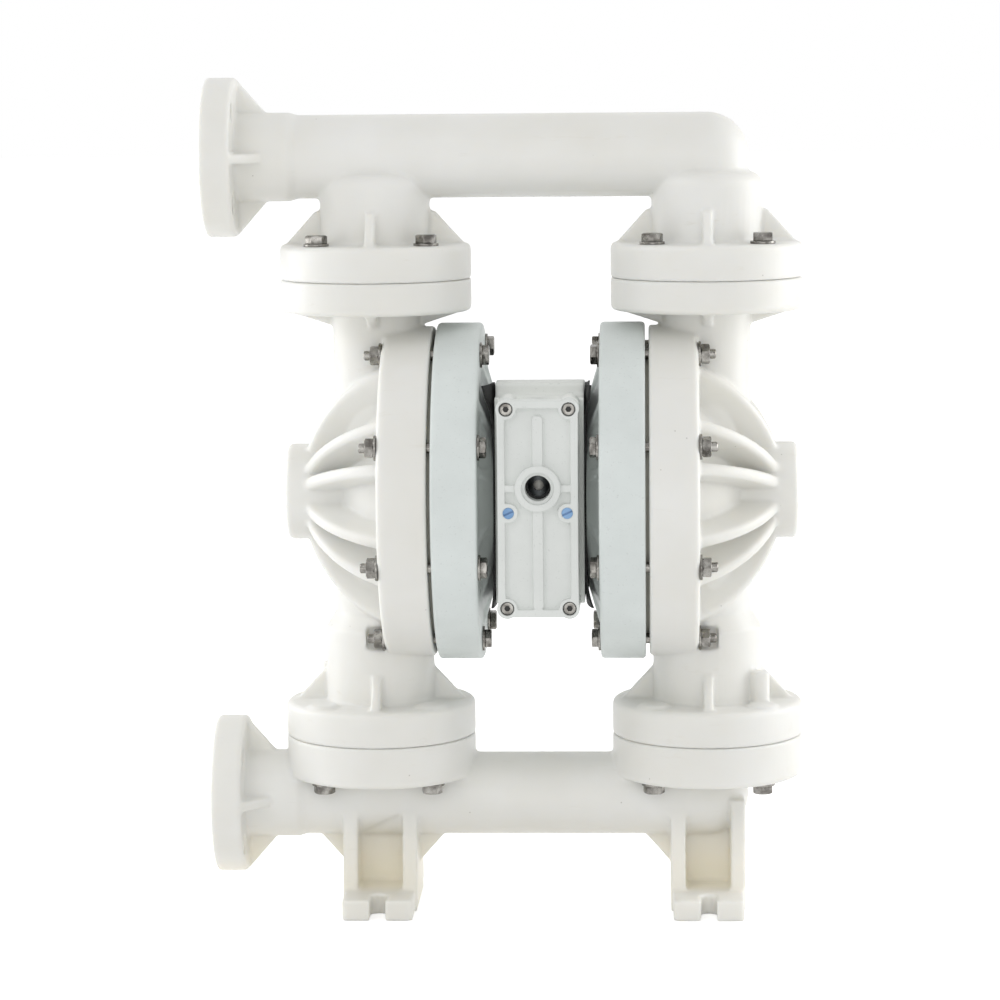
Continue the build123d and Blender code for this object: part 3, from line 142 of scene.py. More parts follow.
def smooth(piece, angle=None):
    """Shades a piece smooth all over, or only across edges that turn less than an angle in degrees."""
    only(piece)
    if angle is None:
        bpy.ops.object.shade_smooth()
    else:
        bpy.ops.object.shade_smooth_by_angle(angle=radians(angle))


def finish_piece(piece, slot, body, *nodes):
    """Gives a piece its finish and its body, and the solids that it stands for."""
    piece.data.materials.clear()
    piece.data.materials.append(FINISH[slot])
    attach(piece, body)
    if nodes:
        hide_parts(*nodes)


# ---- materials ----
def linear(colour):
    """Linear colour of an sRGB hex value."""
    parts = [int(colour[i : i + 2], 16) / 255 for i in (1, 3, 5)]
    return [c / 12.92 if c <= 0.04045 else ((c + 0.055) / 1.055) ** 2.4 for c in parts] + [1.0]


def add(tree, kind, inputs=None, stops=None, **settings):
    """Adds a node; inputs gives each socket a value or another node's output, stops fills a colour ramp."""
    made = tree.nodes.new("ShaderNode" + kind)
    for name, value in settings.items():
        setattr(made, name, value)
    for socket, value in (inputs or {}).items():
        if isinstance(value, bpy.types.NodeSocket):
            tree.links.new(value, made.inputs[socket])
        else:
            made.inputs[socket].default_value = value
    for i, (place, colour) in enumerate(stops or []):
        element = made.color_ramp.elements[i] if i < 2 else made.color_ramp.elements.new(place)
        element.position, element.color = place, colour
    return made


def new_material(name):
    """An empty material: its node tree, its output and the piece's own coordinates."""
    material = bpy.data.materials.new(name)
    material.use_nodes = True
    tree = material.node_tree
    tree.nodes.clear()
    out = add(tree, "OutputMaterial")
    place = add(tree, "TexCoord").outputs["Object"]
    return material, tree, out, place


def per(millimetres):
    """Texture scale at which a pattern repeats every so many millimetres."""
    return 1000.0 / millimetres


def grey(level):
    """Linear grey, for masks."""
    return (level, level, level, 1)


def natural_polypropylene():
    """Natural polypropylene, injection moulded in ground steel: milky, with a satin skin."""
    material, tree, out, place = new_material("natural_polypropylene")
    # flow clouds of the melt, some 120 mm across
    clouds = add(tree, "TexNoise", {"Vector": place, "Scale": per(120), "Detail": 3.0, "Roughness": 0.55})
    base = add(
        tree,
        "ValToRGB",
        {"Fac": clouds.outputs["Fac"]},
        [(0.3, linear("#E3E2DC")), (0.72, linear("#EAEAE7"))],
    )
    # the thick foot webs: a warm yellowed tone and painted light; their colour is made lighter than the rest
    # to make up for the shade they sit in under the pipe and between the feet
    height = add(tree, "SeparateXYZ", {"Vector": place})
    low = add(
        tree,
        "MapRange",
        {"Value": height.outputs["Z"], "From Min": 0.10, "From Max": 0.02, "To Min": 0.0, "To Max": 0.55},
        interpolation_type="SMOOTHSTEP",
    )
    depth = add(tree, "Math", {0: height.outputs["Y"]}, operation="ABSOLUTE")
    inner = add(
        tree,
        "MapRange",
        {"Value": depth.outputs[0], "From Min": 0.058, "From Max": 0.03, "To Min": 0.3, "To Max": 1.6},
    )
    web_tint_and_light_mask = add(tree, "Math", {0: low.outputs[0], 1: inner.outputs[0]}, operation="MULTIPLY")
    # painted light and a warm tint on the foot webs, strongest low down and between the feet
    yellowed_and_lit_web = add(
        tree,
        "Mix",
        {0: web_tint_and_light_mask.outputs[0], 6: base.outputs["Color"], 7: linear("#FAF4E4")},
        data_type="RGBA",
    )
    # black specks of burnt melt and dirt, under a millimetre, far apart
    specks = add(tree, "TexVoronoi", {"Vector": place, "Scale": per(26)})
    speck = add(
        tree, "ValToRGB", {"Fac": specks.outputs["Distance"]}, [(0.022, grey(1)), (0.03, grey(0))]
    )
    # handling marks: long pale grey rubs
    lengthwise = add(tree, "Mapping", {"Vector": place, "Scale": (per(90), per(14), per(14))})
    rubs = add(
        tree,
        "TexNoise",
        {"Vector": lengthwise.outputs[0], "Scale": 1.0, "Detail": 6.0, "Roughness": 0.7},
    )
    rub = add(tree, "ValToRGB", {"Fac": rubs.outputs["Fac"]}, [(0.62, grey(0)), (0.74, grey(0.5))])
    rubbed = add(
        tree,
        "Mix",
        {0: rub.outputs["Color"], 6: yellowed_and_lit_web.outputs[2], 7: linear("#DCD9D0")},
        data_type="RGBA",
    )
    speck_share = add(tree, "Math", {0: speck.outputs["Color"], 1: 0.45}, operation="MULTIPLY")
    colour = add(
        tree,
        "Mix",
        {0: speck_share.outputs[0], 6: rubbed.outputs[2], 7: linear("#8A857B")},
        data_type="RGBA",
    )
    # sink marks about 45 mm apart and the grain of the mould, drawn at 1.6 mm so that it shows
    sinks = add(tree, "TexNoise", {"Vector": place, "Scale": per(45), "Detail": 1.0})
    grain = add(tree, "TexNoise", {"Vector": place, "Scale": per(1.6), "Detail": 2.0})
    sunk = add(tree, "Bump", {"Height": sinks.outputs["Fac"], "Strength": 0.25, "Distance": 0.0016})
    skin = add(
        tree,
        "Bump",
        {"Height": grain.outputs["Fac"], "Strength": 0.12, "Distance": 0.0002, "Normal": sunk.outputs[0]},
    )
    gloss = add(
        tree,
        "MapRange",
        {"Value": rubs.outputs["Fac"], "From Min": 0.3, "From Max": 0.75, "To Min": 0.34, "To Max": 0.52},
    )
    shader = add(
        tree,
        "BsdfPrincipled",
        {
            "Base Color": colour.outputs[2],
            "Roughness": gloss.outputs[0],
            "IOR": 1.49,
            "Subsurface Weight": 0.45,
            "Subsurface Radius": (1.0, 0.93, 0.80),
            "Subsurface Scale": 0.008,
            "Normal": skin.outputs[0],
        },
    )
    tree.links.new(shader.outputs[0], out.inputs["Surface"])
    return material


def painted_casting(name, light, dark, speckle, scuff):
    """Satin two-part paint sprayed over sand-cast aluminium: speckle, pale scuffs, a soft cast grain."""
    material, tree, out, place = new_material(name)
    clouds = add(tree, "TexNoise", {"Vector": place, "Scale": per(70), "Detail": 4.0, "Roughness": 0.6})
    base = add(
        tree, "ValToRGB", {"Fac": clouds.outputs["Fac"]}, [(0.32, linear(dark)), (0.68, linear(light))]
    )
    # overspray and dust nibs, 2 mm apart
    nibs = add(tree, "TexNoise", {"Vector": place, "Scale": per(2.2), "Detail": 2.0})
    nib = add(tree, "ValToRGB", {"Fac": nibs.outputs["Fac"]}, [(0.64, grey(0)), (0.74, grey(0.5))])
    speckled = add(
        tree,
        "Mix",
        {0: nib.outputs["Color"], 6: base.outputs["Color"], 7: linear(speckle)},
        data_type="RGBA",
    )
    # scuffs from handling: thin, some 25 mm long
    streak = add(tree, "Mapping", {"Vector": place, "Scale": (per(5), per(5), per(26))})
    scuffs = add(
        tree, "TexNoise", {"Vector": streak.outputs[0], "Scale": 1.0, "Detail": 8.0, "Roughness": 0.75}
    )
    worn = add(tree, "ValToRGB", {"Fac": scuffs.outputs["Fac"]}, [(0.66, grey(0)), (0.72, grey(0.7))])
    colour = add(
        tree,
        "Mix",
        {0: worn.outputs["Color"], 6: speckled.outputs[2], 7: linear(scuff)},
        data_type="RGBA",
    )
    grain = add(tree, "TexNoise", {"Vector": place, "Scale": per(1.8), "Detail": 3.0})
    skin = add(tree, "Bump", {"Height": grain.outputs["Fac"], "Strength": 0.22, "Distance": 0.0003})
    gloss = add(
        tree,
        "MapRange",
        {"Value": clouds.outputs["Fac"], "From Min": 0.3, "From Max": 0.7, "To Min": 0.42, "To Max": 0.56},
    )
    shader = add(
        tree,
        "BsdfPrincipled",
        {
            "Base Color": colour.outputs[2],
            "Roughness": gloss.outputs[0],
            "IOR": 1.5,
            "Normal": skin.outputs[0],
        },
    )
    tree.links.new(shader.outputs[0], out.inputs["Surface"])
    return material


def metal(name, light, dark, low, high, grain_mm, grain_depth):
    """Bare metal: patches of handling and oxide change its tone and gloss over its grain."""
    material, tree, out, place = new_material(name)
    patches = add(tree, "TexNoise", {"Vector": place, "Scale": per(9), "Detail": 4.0, "Roughness": 0.6})
    colour = add(
        tree, "ValToRGB", {"Fac": patches.outputs["Fac"]}, [(0.35, linear(dark)), (0.65, linear(light))]
    )
    gloss = add(
        tree,
        "MapRange",
        {"Value": patches.outputs["Fac"], "From Min": 0.3, "From Max": 0.7, "To Min": low, "To Max": high},
    )
    grain = add(tree, "TexNoise", {"Vector": place, "Scale": per(grain_mm), "Detail": 2.0})
    skin = add(tree, "Bump", {"Height": grain.outputs["Fac"], "Strength": 0.3, "Distance": grain_depth})
    shader = add(
        tree,
        "BsdfPrincipled",
        {
            "Base Color": colour.outputs["Color"],
            "Metallic": 1.0,
            "Roughness": gloss.outputs[0],
            "Normal": skin.outputs[0],
        },
    )
    tree.links.new(shader.outputs[0], out.inputs["Surface"])
    return material


def moulded(name, light, dark, roughness, grain_mm, ior=1.5):
    """Moulded or machined plastic or rubber: an even tone with slight clouds, and a fine grain."""
    material, tree, out, place = new_material(name)
    clouds = add(tree, "TexNoise", {"Vector": place, "Scale": per(20), "Detail": 4.0})
    colour = add(
        tree, "ValToRGB", {"Fac": clouds.outputs["Fac"]}, [(0.3, linear(dark)), (0.7, linear(light))]
    )
    grain = add(tree, "TexNoise", {"Vector": place, "Scale": per(grain_mm), "Detail": 2.0})
    skin = add(tree, "Bump", {"Height": grain.outputs["Fac"], "Strength": 0.25, "Distance": 0.0002})
    gloss = add(
        tree,
        "MapRange",
        {"Value": clouds.outputs["Fac"], "To Min": roughness - 0.08, "To Max": roughness + 0.08},
    )
    shader = add(
        tree,
        "BsdfPrincipled",
        {
            "Base Color": colour.outputs["Color"],
            "Roughness": gloss.outputs[0],
            "IOR": ior,
            "Normal": skin.outputs[0],
        },
    )
    tree.links.new(shader.outputs[0], out.inputs["Surface"])
    return material


def rubber_with_painted_light_rim():
    """Black rubber, its rim painted light: made pale grey to stand in for the light that reaches it in the
    gap between the caps.
    """
    material = moulded("nitrile_rubber_painted_light_rim", "#1C1C1C", "#121212", 0.68, 0.8, 1.52)
    tree = material.node_tree
    shader = next(node for node in tree.nodes if node.type == "BSDF_PRINCIPLED")
    clean = shader.inputs["Base Color"].links[0].from_socket
    place = next(node for node in tree.nodes if node.type == "TEX_COORD").outputs["Object"]
    middle = add(tree, "VectorMath", {0: place, 1: (0, 0, ROD_HEIGHT)}, operation="SUBTRACT")
    across = add(tree, "VectorMath", {0: middle.outputs[0], 1: (0, 1, 1)}, operation="MULTIPLY")
    radius = add(tree, "VectorMath", {0: across.outputs[0]}, operation="LENGTH")
    rim = add(
        tree,
        "MapRange",
        {
            "Value": radius.outputs["Value"],
            "From Min": DIAPHRAGM_LIP_R - 6 * MM,
            "From Max": DIAPHRAGM_LIP_R,
            "To Max": 0.92,
        },
    )
    # painted light: the lip turns pale grey-beige towards its edge, where it shows in the gap
    rim_painted_light = add(
        tree,
        "Mix",
        {0: rim.outputs[0], 6: clean, 7: linear("#D8D6CB")},
        data_type="RGBA",
    )
    tree.links.new(rim_painted_light.outputs[2], shader.inputs["Base Color"])
    return material


FINISH = {
    "natural_pp": natural_polypropylene(),
    # light grey with a green cast, dull from dust
    "grey_paint": painted_casting("grey_cap_paint", "#DCE2E0", "#D3D9D7", "#C1C7C5", "#EAEEEC"),
    "body_paint": painted_casting("body_paint", "#EDEFEB", "#E5E7E3", "#CDD0CB", "#F4F5F2"),
    "cover_grey": painted_casting("cover_paint", "#DFE2DF", "#D7DAD7", "#C4C7C4", "#EDEFEC"),
    # cold-headed stainless steel, a little yellow and dull from the shop
    "stainless": metal("stainless_steel", "#A19F9A", "#625F5B", 0.16, 0.32, 0.9, 0.00008),
    # sand-cast aluminium as it leaves the mould
    "plate_alloy": metal("cast_aluminium", "#C9CBCD", "#A9ABAD", 0.40, 0.55, 1.2, 0.00015),
    # aluminium sleeve of the air valve, seen through the inlet: painted shade, dark grey
    "spool_sleeve": metal("sleeve_aluminium_painted_shade", "#66696A", "#4E5152", 0.42, 0.58, 0.6, 0.00005),
    # turned brass
    "brass": metal("turned_brass", "#D9B36A", "#B98F4C", 0.22, 0.34, 0.6, 0.00005),
    # nitrile rubber sheet and mouldings: black, no gloss
    "black_rubber": moulded("nitrile_rubber", "#1C1C1C", "#121212", 0.68, 0.8, 1.52),
    # thermoplastic rubber balls and seats
    "seat_rubber": moulded("thermoplastic_rubber", "#3A3A37", "#2C2C2A", 0.55, 0.8, 1.5),
    # machined acetal: white, waxy
    "acetal": moulded("machined_acetal", "#EDEBE3", "#E3E1D8", 0.38, 0.6, 1.48),
    # injection-moulded blue nylon
    "blue_plastic": moulded("blue_nylon", "#86ABD3", "#6E97C4", 0.36, 0.5, 1.53),
    # black polypropylene, fine mould texture
    "black_plastic": moulded("black_polypropylene", "#262626", "#1A1A1A", 0.55, 0.7, 1.49),
}

slots = {part["node"]: part["material_slot"] for part in frame["record"]["subparts"]}
for name, solid in frame["nodes"].items():
    for holder in solid.material_slots:
        holder.material = FINISH.get(name, FINISH[slots[name]])


# ---- mouldings and castings ----
def joined(*pieces):
    """Joins pieces into the first."""
    only(*pieces)
    bpy.ops.object.join()
    return bpy.context.active_object


def softened(piece, voxel, passes, share):
    """Rounds every edge and inner corner as a mould does, then thins the mesh where it is even."""
    apply(piece, "REMESH", mode="VOXEL", voxel_size=voxel)
    apply(piece, "SMOOTH", factor=0.5, iterations=passes)
    apply(piece, "DECIMATE", ratio=share)
    smooth(piece)


# each solid's voxel in mm, smoothing passes and share of faces kept
MOULDINGS = {
    "outlet_manifold": (1.9, 4, 0.42),
    "inlet_manifold": (1.9, 4, 0.42),
    "fluid_cap_left": (1.9, 4, 0.42),
    "fluid_cap_right": (1.9, 4, 0.42),
    "air_cap_left": (1.6, 3, 0.45),
    "air_cap_right": (1.6, 3, 0.45),
    "center_body": (1.5, 2, 0.5),
    "valve_block": (0.9, 2, 0.5),
    "valve_cover": (0.65, 2, 0.4),
    "muffler": (1.0, 2, 0.5),
}


def block_flanges():
    """Plates at the valve block's two faces, between which its walls are waisted."""
    half_width, half_height, thickness = BLOCK_FLANGE
    plates = []
    for y in (BLOCK_Y[0] + thickness / 2, BLOCK_Y[1] - thickness / 2):
        bpy.ops.mesh.primitive_cube_add(size=2, location=(0, 0, 0))
        plate = newest("block_flange")
        plate.scale = (half_width, thickness / 2, half_height)
        plate.location = (0, y, ROD_HEIGHT)
        bpy.ops.object.transform_apply()
        apply(plate, "BEVEL", width=1.0 * MM, segments=2)
        radius, height = AIR_PASSAGE
        plates.append(plate)
    radius, height = AIR_PASSAGE
    bpy.ops.mesh.primitive_cylinder_add(
        vertices=48,
        radius=radius,
        depth=3 * thickness,
        location=(0, BLOCK_Y[0] + thickness / 2, ROD_HEIGHT + height),
        rotation=(radians(90), 0, 0),
    )
    drill = newest("passage_drill")
    apply(plates[0], "BOOLEAN", operation="DIFFERENCE", object=drill, solver="EXACT")
    bpy.data.objects.remove(drill)
    return plates


def shade_painted_in_hollow(piece, shade_finish, inside):
    """Paints shade on a piece's faces in a hollow: gives them a second, darker material."""
    piece.data.materials.append(shade_finish)
    for face in piece.data.polygons:
        if inside(face.center):
            face.material_index = 1


def in_air_passage(place):
    """Whether a place is in the passage behind the air inlet."""
    radius, height = AIR_PASSAGE
    return sqrt(place.x**2 + (place.z - ROD_HEIGHT - height) ** 2) < radius + 0.5 * MM


for node, (voxel, passes, share) in MOULDINGS.items():
    moulding = merged(node, "moulded_" + node)
    if node == "valve_block":
        moulding = joined(moulding, *block_flanges())
    softened(moulding, voxel * MM, passes, share)
    finish_piece(moulding, slots[node], "housing", node)
    if node == "valve_block":
        # painted shade: the passage's faces dull dark grey, where the block's paint is light
        shade_painted_in_hollow(moulding, moulded("passage_painted_shade", "#7C7F7E", "#6A6D6C", 0.5, 0.8), in_air_passage)


# ---- fasteners ----
CHAMFER_TIP_R = 0.475  # of the width across flats
THREAD_RIDGE = 0.56  # radius of the ridge's triangle, of the pitch

# M10 through the rims
RIM_BOLT_R = 5.0 * MM
RIM_BAR_R = 4.35 * MM  # under the thread
RIM_BAR_LENGTH = 112.7 * MM
RIM_BODY_LENGTH = 92.0 * MM
RIM_THREAD = (1.5 * MM, -111.6 * MM, 17)  # pitch, where it starts, turns
RIM_HEAD = (17.0 * MM, 6.4 * MM)  # across flats, height
RIM_NUT = (17.0 * MM, 8.4 * MM)
RIM_NUT_BORE_R = 5.05 * MM
RIM_WASHER = (12.0 * MM, 5.3 * MM, 2.3 * MM)  # outer and bore radius, thickness
# M12 in the joints
JOINT_BOLT_R = 6.0 * MM
JOINT_HEAD = (18.0 * MM, 8.0 * MM)
JOINT_WASHER = (12.0 * MM, 6.3 * MM, 2.5 * MM)


def hex_prism(name, across_flats, height, chamfer_both=False):
    """Hexagon standing on z = 0, its corners turned off at 30 degrees as on a bolt head."""
    bpy.ops.mesh.primitive_cylinder_add(
        vertices=6, radius=across_flats / sqrt(3), depth=height, location=(0, 0, height / 2)
    )
    prism = newest(name)
    bpy.ops.object.transform_apply()
    edit(prism, rotation(30, "Z"))
    tip = CHAMFER_TIP_R * across_flats
    foot = tip + height * sqrt(3)
    for low, high in ((tip, foot), (foot, tip)) if chamfer_both else ((foot, tip),):
        bpy.ops.mesh.primitive_cone_add(
            vertices=96, radius1=low, radius2=high, depth=height, location=(0, 0, height / 2)
        )
        cone = newest("turning_cone")
        apply(prism, "BOOLEAN", operation="INTERSECT", object=cone, solver="EXACT")
        bpy.data.objects.remove(cone)
    return prism


def bored(piece, radius, depth):
    """Drills a hole up z from z = 0."""
    bpy.ops.mesh.primitive_cylinder_add(
        vertices=36, radius=radius, depth=3 * depth, location=(0, 0, depth / 2)
    )
    drill = newest("drill")
    apply(piece, "BOOLEAN", operation="DIFFERENCE", object=drill, solver="EXACT")
    bpy.data.objects.remove(drill)


def eased(piece, width, segments=2):
    """Breaks the sharp edges by a small radius."""
    apply(piece, "BEVEL", width=width, segments=segments, limit_method="ANGLE", angle_limit=radians(25))
    smooth(piece, 35)


def shank(name, radius, length):
    """Round bar hanging below z = 0, its end chamfered."""
    bpy.ops.mesh.primitive_cylinder_add(
        vertices=32, radius=radius, depth=length, location=(0, 0, -length / 2)
    )
    bar = newest(name)
    bpy.ops.object.transform_apply()
    apply(bar, "BEVEL", width=0.9 * MM, segments=1, limit_method="ANGLE", angle_limit=radians(60))
    return bar


def thread(name, radius, pitch, low, turns):
    """Rolled thread: a helical ridge of triangular section round a bar, from z = low upwards."""
    bpy.ops.mesh.primitive_circle_add(vertices=3, radius=pitch * THREAD_RIDGE, location=(0, 0, 0))
    ridge = newest(name)
    edit(
        ridge,
        rotation(-90, "Z"),
        rotation(90, "X"),
        (bpy.ops.transform.translate, {"value": (radius - pitch * THREAD_RIDGE, 0, low)}),
    )
    apply(
        ridge,
        "SCREW",
        axis="Z",
        screw_offset=pitch,
        iterations=turns,
        steps=24,
        render_steps=24,
        use_normal_calculate=True,
        use_merge_vertices=True,
    )
    edit(ridge, (bpy.ops.mesh.normals_make_consistent, {"inside": False}))
    return ridge


def washer(name, outer, inner, thickness):
    """Flat ring standing on z = 0."""
    bpy.ops.mesh.primitive_circle_add(vertices=48, radius=outer, fill_type="NOTHING")
    ring = newest(name)
    share = inner / outer
    edit(
        ring,
        (bpy.ops.mesh.extrude_edges_move, {}),
        (bpy.ops.transform.resize, {"value": (share, share, 1), "center_override": (0, 0, 0)}),
        (bpy.ops.mesh.select_all, {"action": "SELECT"}),
        (bpy.ops.mesh.normals_make_consistent, {"inside": False}),
    )
    apply(ring, "SOLIDIFY", thickness=thickness, offset=-1.0)
    lowest = min(v.co.z for v in ring.data.vertices)
    edit(ring, (bpy.ops.transform.translate, {"value": (0, 0, -lowest)}))
    eased(ring, 0.35 * MM)
    return ring


def repeated(pattern, places, name):
    """One piece of copies of a pattern, each with its own mesh, at these places; the pattern goes."""
    copies = []
    for place in places:
        copy = bpy.data.objects.new(name, pattern.data.copy())
        bpy.context.collection.objects.link(copy)
        copy.data.transform(place)
        copies.append(copy)
    bpy.data.objects.remove(pattern)
    group = joined(*copies)
    group.name = group.data.name = name
    return group


def chamber_places(x, outwards, turns=(0.0,)):
    """Where a piece made about z lies at each bolt of both rims, its foot at x, pointing outwards or in."""
    found = []
    for side in (0.0, pi):
        for i in range(CHAMBER_BOLTS):
            angle = 2 * pi * (i + 0.5) / CHAMBER_BOLTS
            y, rise = CHAMBER_BOLT_CIRCLE * cos(angle), CHAMBER_BOLT_CIRCLE * sin(angle)
            centre = Vector((x, y, ROD_HEIGHT + rise))
            lay = Matrix.Rotation(pi / 2 if outwards else -pi / 2, 4, "Y")
            turn = Matrix.Rotation(turns[(i + int(side)) % len(turns)], 4, "Z")
            found.append(Matrix.Rotation(side, 4, "Z") @ Matrix.Translation(centre) @ lay @ turn)
    return found


def joint_places(z, upwards, turns=(0.0,)):
    """Where a piece made about z stands at each joint bolt."""
    found = []
    for side in (-1, 1):
        for i in (-1, 1):
            for j in (-1, 1):
                centre = Vector((side * COLUMN_X + i * JOINT_BOLT_OFFSET, j * JOINT_BOLT_OFFSET, z))
                flip = Matrix.Rotation(0.0 if upwards else pi, 4, "X")
                turn = Matrix.Rotation(turns[len(found) % len(turns)], 4, "Z")
                found.append(Matrix.Translation(centre) @ flip @ turn)
    return found


# turns of the heads in radians, as a fitter leaves them
TURNS = (0.1, 0.62, 0.35, 0.9, 0.2, 0.75, 0.5)

# M10 bolts through the rims, heads towards the body
washer_t = RIM_WASHER[2]
head = hex_prism("head", *RIM_HEAD)
eased(head, 0.3 * MM)
bar = shank("bar", RIM_BAR_R, RIM_BAR_LENGTH)
body_bar = shank("body_bar", RIM_BOLT_R, RIM_BODY_LENGTH)
ridge = thread("ridge", RIM_BOLT_R, *RIM_THREAD)
bolt = joined(head, bar, body_bar, ridge)
bolts = repeated(bolt, chamber_places(AIR_RIM_BACK_X - washer_t, False, TURNS), "chamber_bolts_threaded")
smooth(bolts, 35)
finish_piece(bolts, "stainless", "housing", "chamber_bolts")

nut = hex_prism("nut", *RIM_NUT, chamfer_both=True)
bored(nut, RIM_NUT_BORE_R, RIM_NUT[1])
eased(nut, 0.25 * MM)
places = chamber_places(FLUID_RIM_BACK_X + washer_t, True, TURNS[2:])
nuts = repeated(nut, places, "chamber_nuts_chamfered")
smooth(nuts, 35)
finish_piece(nuts, "stainless", "housing", "chamber_nuts")

flat = washer("flat", *RIM_WASHER)
places = chamber_places(AIR_RIM_BACK_X - washer_t, True) + chamber_places(FLUID_RIM_BACK_X, True)
washers = repeated(flat, places, "chamber_washers_flat")
smooth(washers, 35)
finish_piece(washers, "stainless", "housing", "chamber_washers")

# M12 bolts of the four joints
washer_t = JOINT_WASHER[2]
for name, z, upwards, node, length in (
    ("upper_joint_bolts_headed", OUTLET_FLANGE_TOP_Z + washer_t, True, "upper_joint_bolts", 56 * MM),
    ("lower_joint_bolts_headed", INLET_FLANGE_BOTTOM_Z - washer_t, False, "lower_joint_bolts", 62.5 * MM),
):
    head = hex_prism("head", *JOINT_HEAD)
    eased(head, 0.35 * MM)
    bolt = joined(head, shank("bar", JOINT_BOLT_R, length))
    bolts = repeated(bolt, joint_places(z, upwards, TURNS), name)
    smooth(bolts, 35)
    finish_piece(bolts, "stainless", "housing", node)

flat = washer("flat", *JOINT_WASHER)
places = joint_places(OUTLET_FLANGE_TOP_Z, True) + joint_places(INLET_FLANGE_BOTTOM_Z, False)
washers = repeated(flat, places, "joint_washers_flat")
smooth(washers, 35)
finish_piece(washers, "stainless", "housing", "joint_washers")


def in_valve_socket(place):
    """Whether a place is in the hexagon socket of one of the valve's screws."""
    aside = abs(place.x) - VALVE_SCREW_PLACE[0]
    over = abs(place.z - ROD_HEIGHT) - VALVE_SCREW_PLACE[1]
    near = sqrt(aside**2 + over**2) < VALVE_SOCKET_R
    return near and VALVE_SOCKET_Y[0] < place.y < VALVE_SOCKET_Y[1]


# small turned and moulded pieces keep the solids' shapes, with their edges broken
for node, width in (("valve_screws", 0.3), ("trim_plugs", 0.35)):
    piece = merged(node, "eased_" + node)
    eased(piece, width * MM)
    finish_piece(piece, slots[node], "housing", node)
    if node == "valve_screws":
        # painted shade: the hexagon sockets nearly black, satin
        shade_painted_in_hollow(piece, moulded("socket_painted_shade", "#34322F", "#232220", 0.42, 0.8), in_valve_socket)


# ---- soft pieces ----
GASKET_CLAMP_R = 92.0 * MM  # inside this the air cap's hub holds the sheet against the body
GASKET_REACH = 40.0 * MM  # from there to the sheet's corners
GASKET_FREE_Y = -40.0 * MM  # in front of this the sheet's overhang is free
GASKET_REAR_CURL = 0.3  # of the front's curl
# changes of the overhang's height, per length over the body's edge
GASKET_PRESSED = 0.8
GASKET_CORNER_LIFT = 1.2
# cuts across the sheet, in mm from the body's upper or lower edge and from its middle, close where it curls
GASKET_CUTS_Z = (-60, -48, -38, -30, -23, -17, -12, -8, -4, 0, 2.5)
GASKET_CUTS_Y = (8, 20, 32, 42, 50, 57, 63, 69, 74, 78)


def bent_gasket(side, name, node, curl_above, curl_below):
    """Rubber sheet whose free corners curl away from the body, most at the front."""
    sheet = merged(node, name)
    for end in (-1, 1):
        for out in GASKET_CUTS_Z:
            place = (0, 0, ROD_HEIGHT + end * (BODY_HALF_HEIGHT + out * MM))
            edit(sheet, (bpy.ops.mesh.bisect, {"plane_co": place, "plane_no": (0, 0, 1)}))
        for y in GASKET_CUTS_Y:
            edit(sheet, (bpy.ops.mesh.bisect, {"plane_co": (0, end * y * MM, 0), "plane_no": (0, 1, 0)}))
    for vertex in sheet.data.vertices:
        height = vertex.co.z - ROD_HEIGHT
        free = max(0.0, sqrt(vertex.co.y**2 + height**2) - GASKET_CLAMP_R) / GASKET_REACH
        share = 1.0 if vertex.co.y < 0 else GASKET_REAR_CURL
        vertex.co.x += side * (curl_above if height > 0 else curl_below) * share * free**3
        over = abs(height) - BODY_HALF_HEIGHT
        if over > 0 and vertex.co.y > GASKET_FREE_Y:
            vertex.co.z -= GASKET_PRESSED * over * (1 if height > 0 else -1)
        elif over > 0 and height > 0:
            vertex.co.z += GASKET_CORNER_LIFT * over
    smooth(sheet, 50)
    finish_piece(sheet, "black_rubber", "housing", node)


def trimmed_gasket(node):
    """Valve gasket cut flush with the block's walls."""
    sheet = merged(node, "trimmed_" + node)
    for vertex in sheet.data.vertices:
        height = vertex.co.z - ROD_HEIGHT
        if abs(height) > BLOCK_HALF_HEIGHT:
            vertex.co.z = ROD_HEIGHT + (BLOCK_HALF_HEIGHT if height > 0 else -BLOCK_HALF_HEIGHT)
    smooth(sheet, 30)
    finish_piece(sheet, "black_rubber", "housing", node)


bent_gasket(-1, "curled_gasket_left", "body_gasket_left", 11 * MM, 3 * MM)
bent_gasket(1, "curled_gasket_right", "body_gasket_right", 5.5 * MM, 7 * MM)
trimmed_gasket("block_gasket")
trimmed_gasket("cover_gasket")


def flexing_diaphragm(name, node):
    """Diaphragm whose middle goes with the rod while its lip stays clamped and its web rolls."""
    disc = merged(node, name)
    for vertex in disc.data.vertices:
        y, z = vertex.co.y, vertex.co.z - ROD_HEIGHT
        if sqrt(y * y + z * z) > DIAPHRAGM_LIP_R - 0.5 * MM:
            grown = DIAPHRAGM_RIM_R / DIAPHRAGM_LIP_R
            vertex.co.y, vertex.co.z = y * grown, ROD_HEIGHT + z * grown
    smooth(disc, 40)
    disc.data.materials.clear()
    disc.data.materials.append(rubber_with_painted_light_rim())
    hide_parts(node)
    inner, outer = DIAPHRAGM_WEB
    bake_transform(disc, "housing", "rod", start=(0, 0, ROD_HEIGHT + outer), end=(0, 0, ROD_HEIGHT + inner))
    shares = disc.data.attributes["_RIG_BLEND"].data
    for vertex, share in zip(disc.data.vertices, shares):
        radius = sqrt(vertex.co.y**2 + (vertex.co.z - ROD_HEIGHT) ** 2)
        t = min(1.0, max(0.0, (outer - radius) / (outer - inner)))
        share.value = t * t * (3 - 2 * t)


flexing_diaphragm("flexing_diaphragm_left", "diaphragm_left")
flexing_diaphragm("flexing_diaphragm_right", "diaphragm_right")


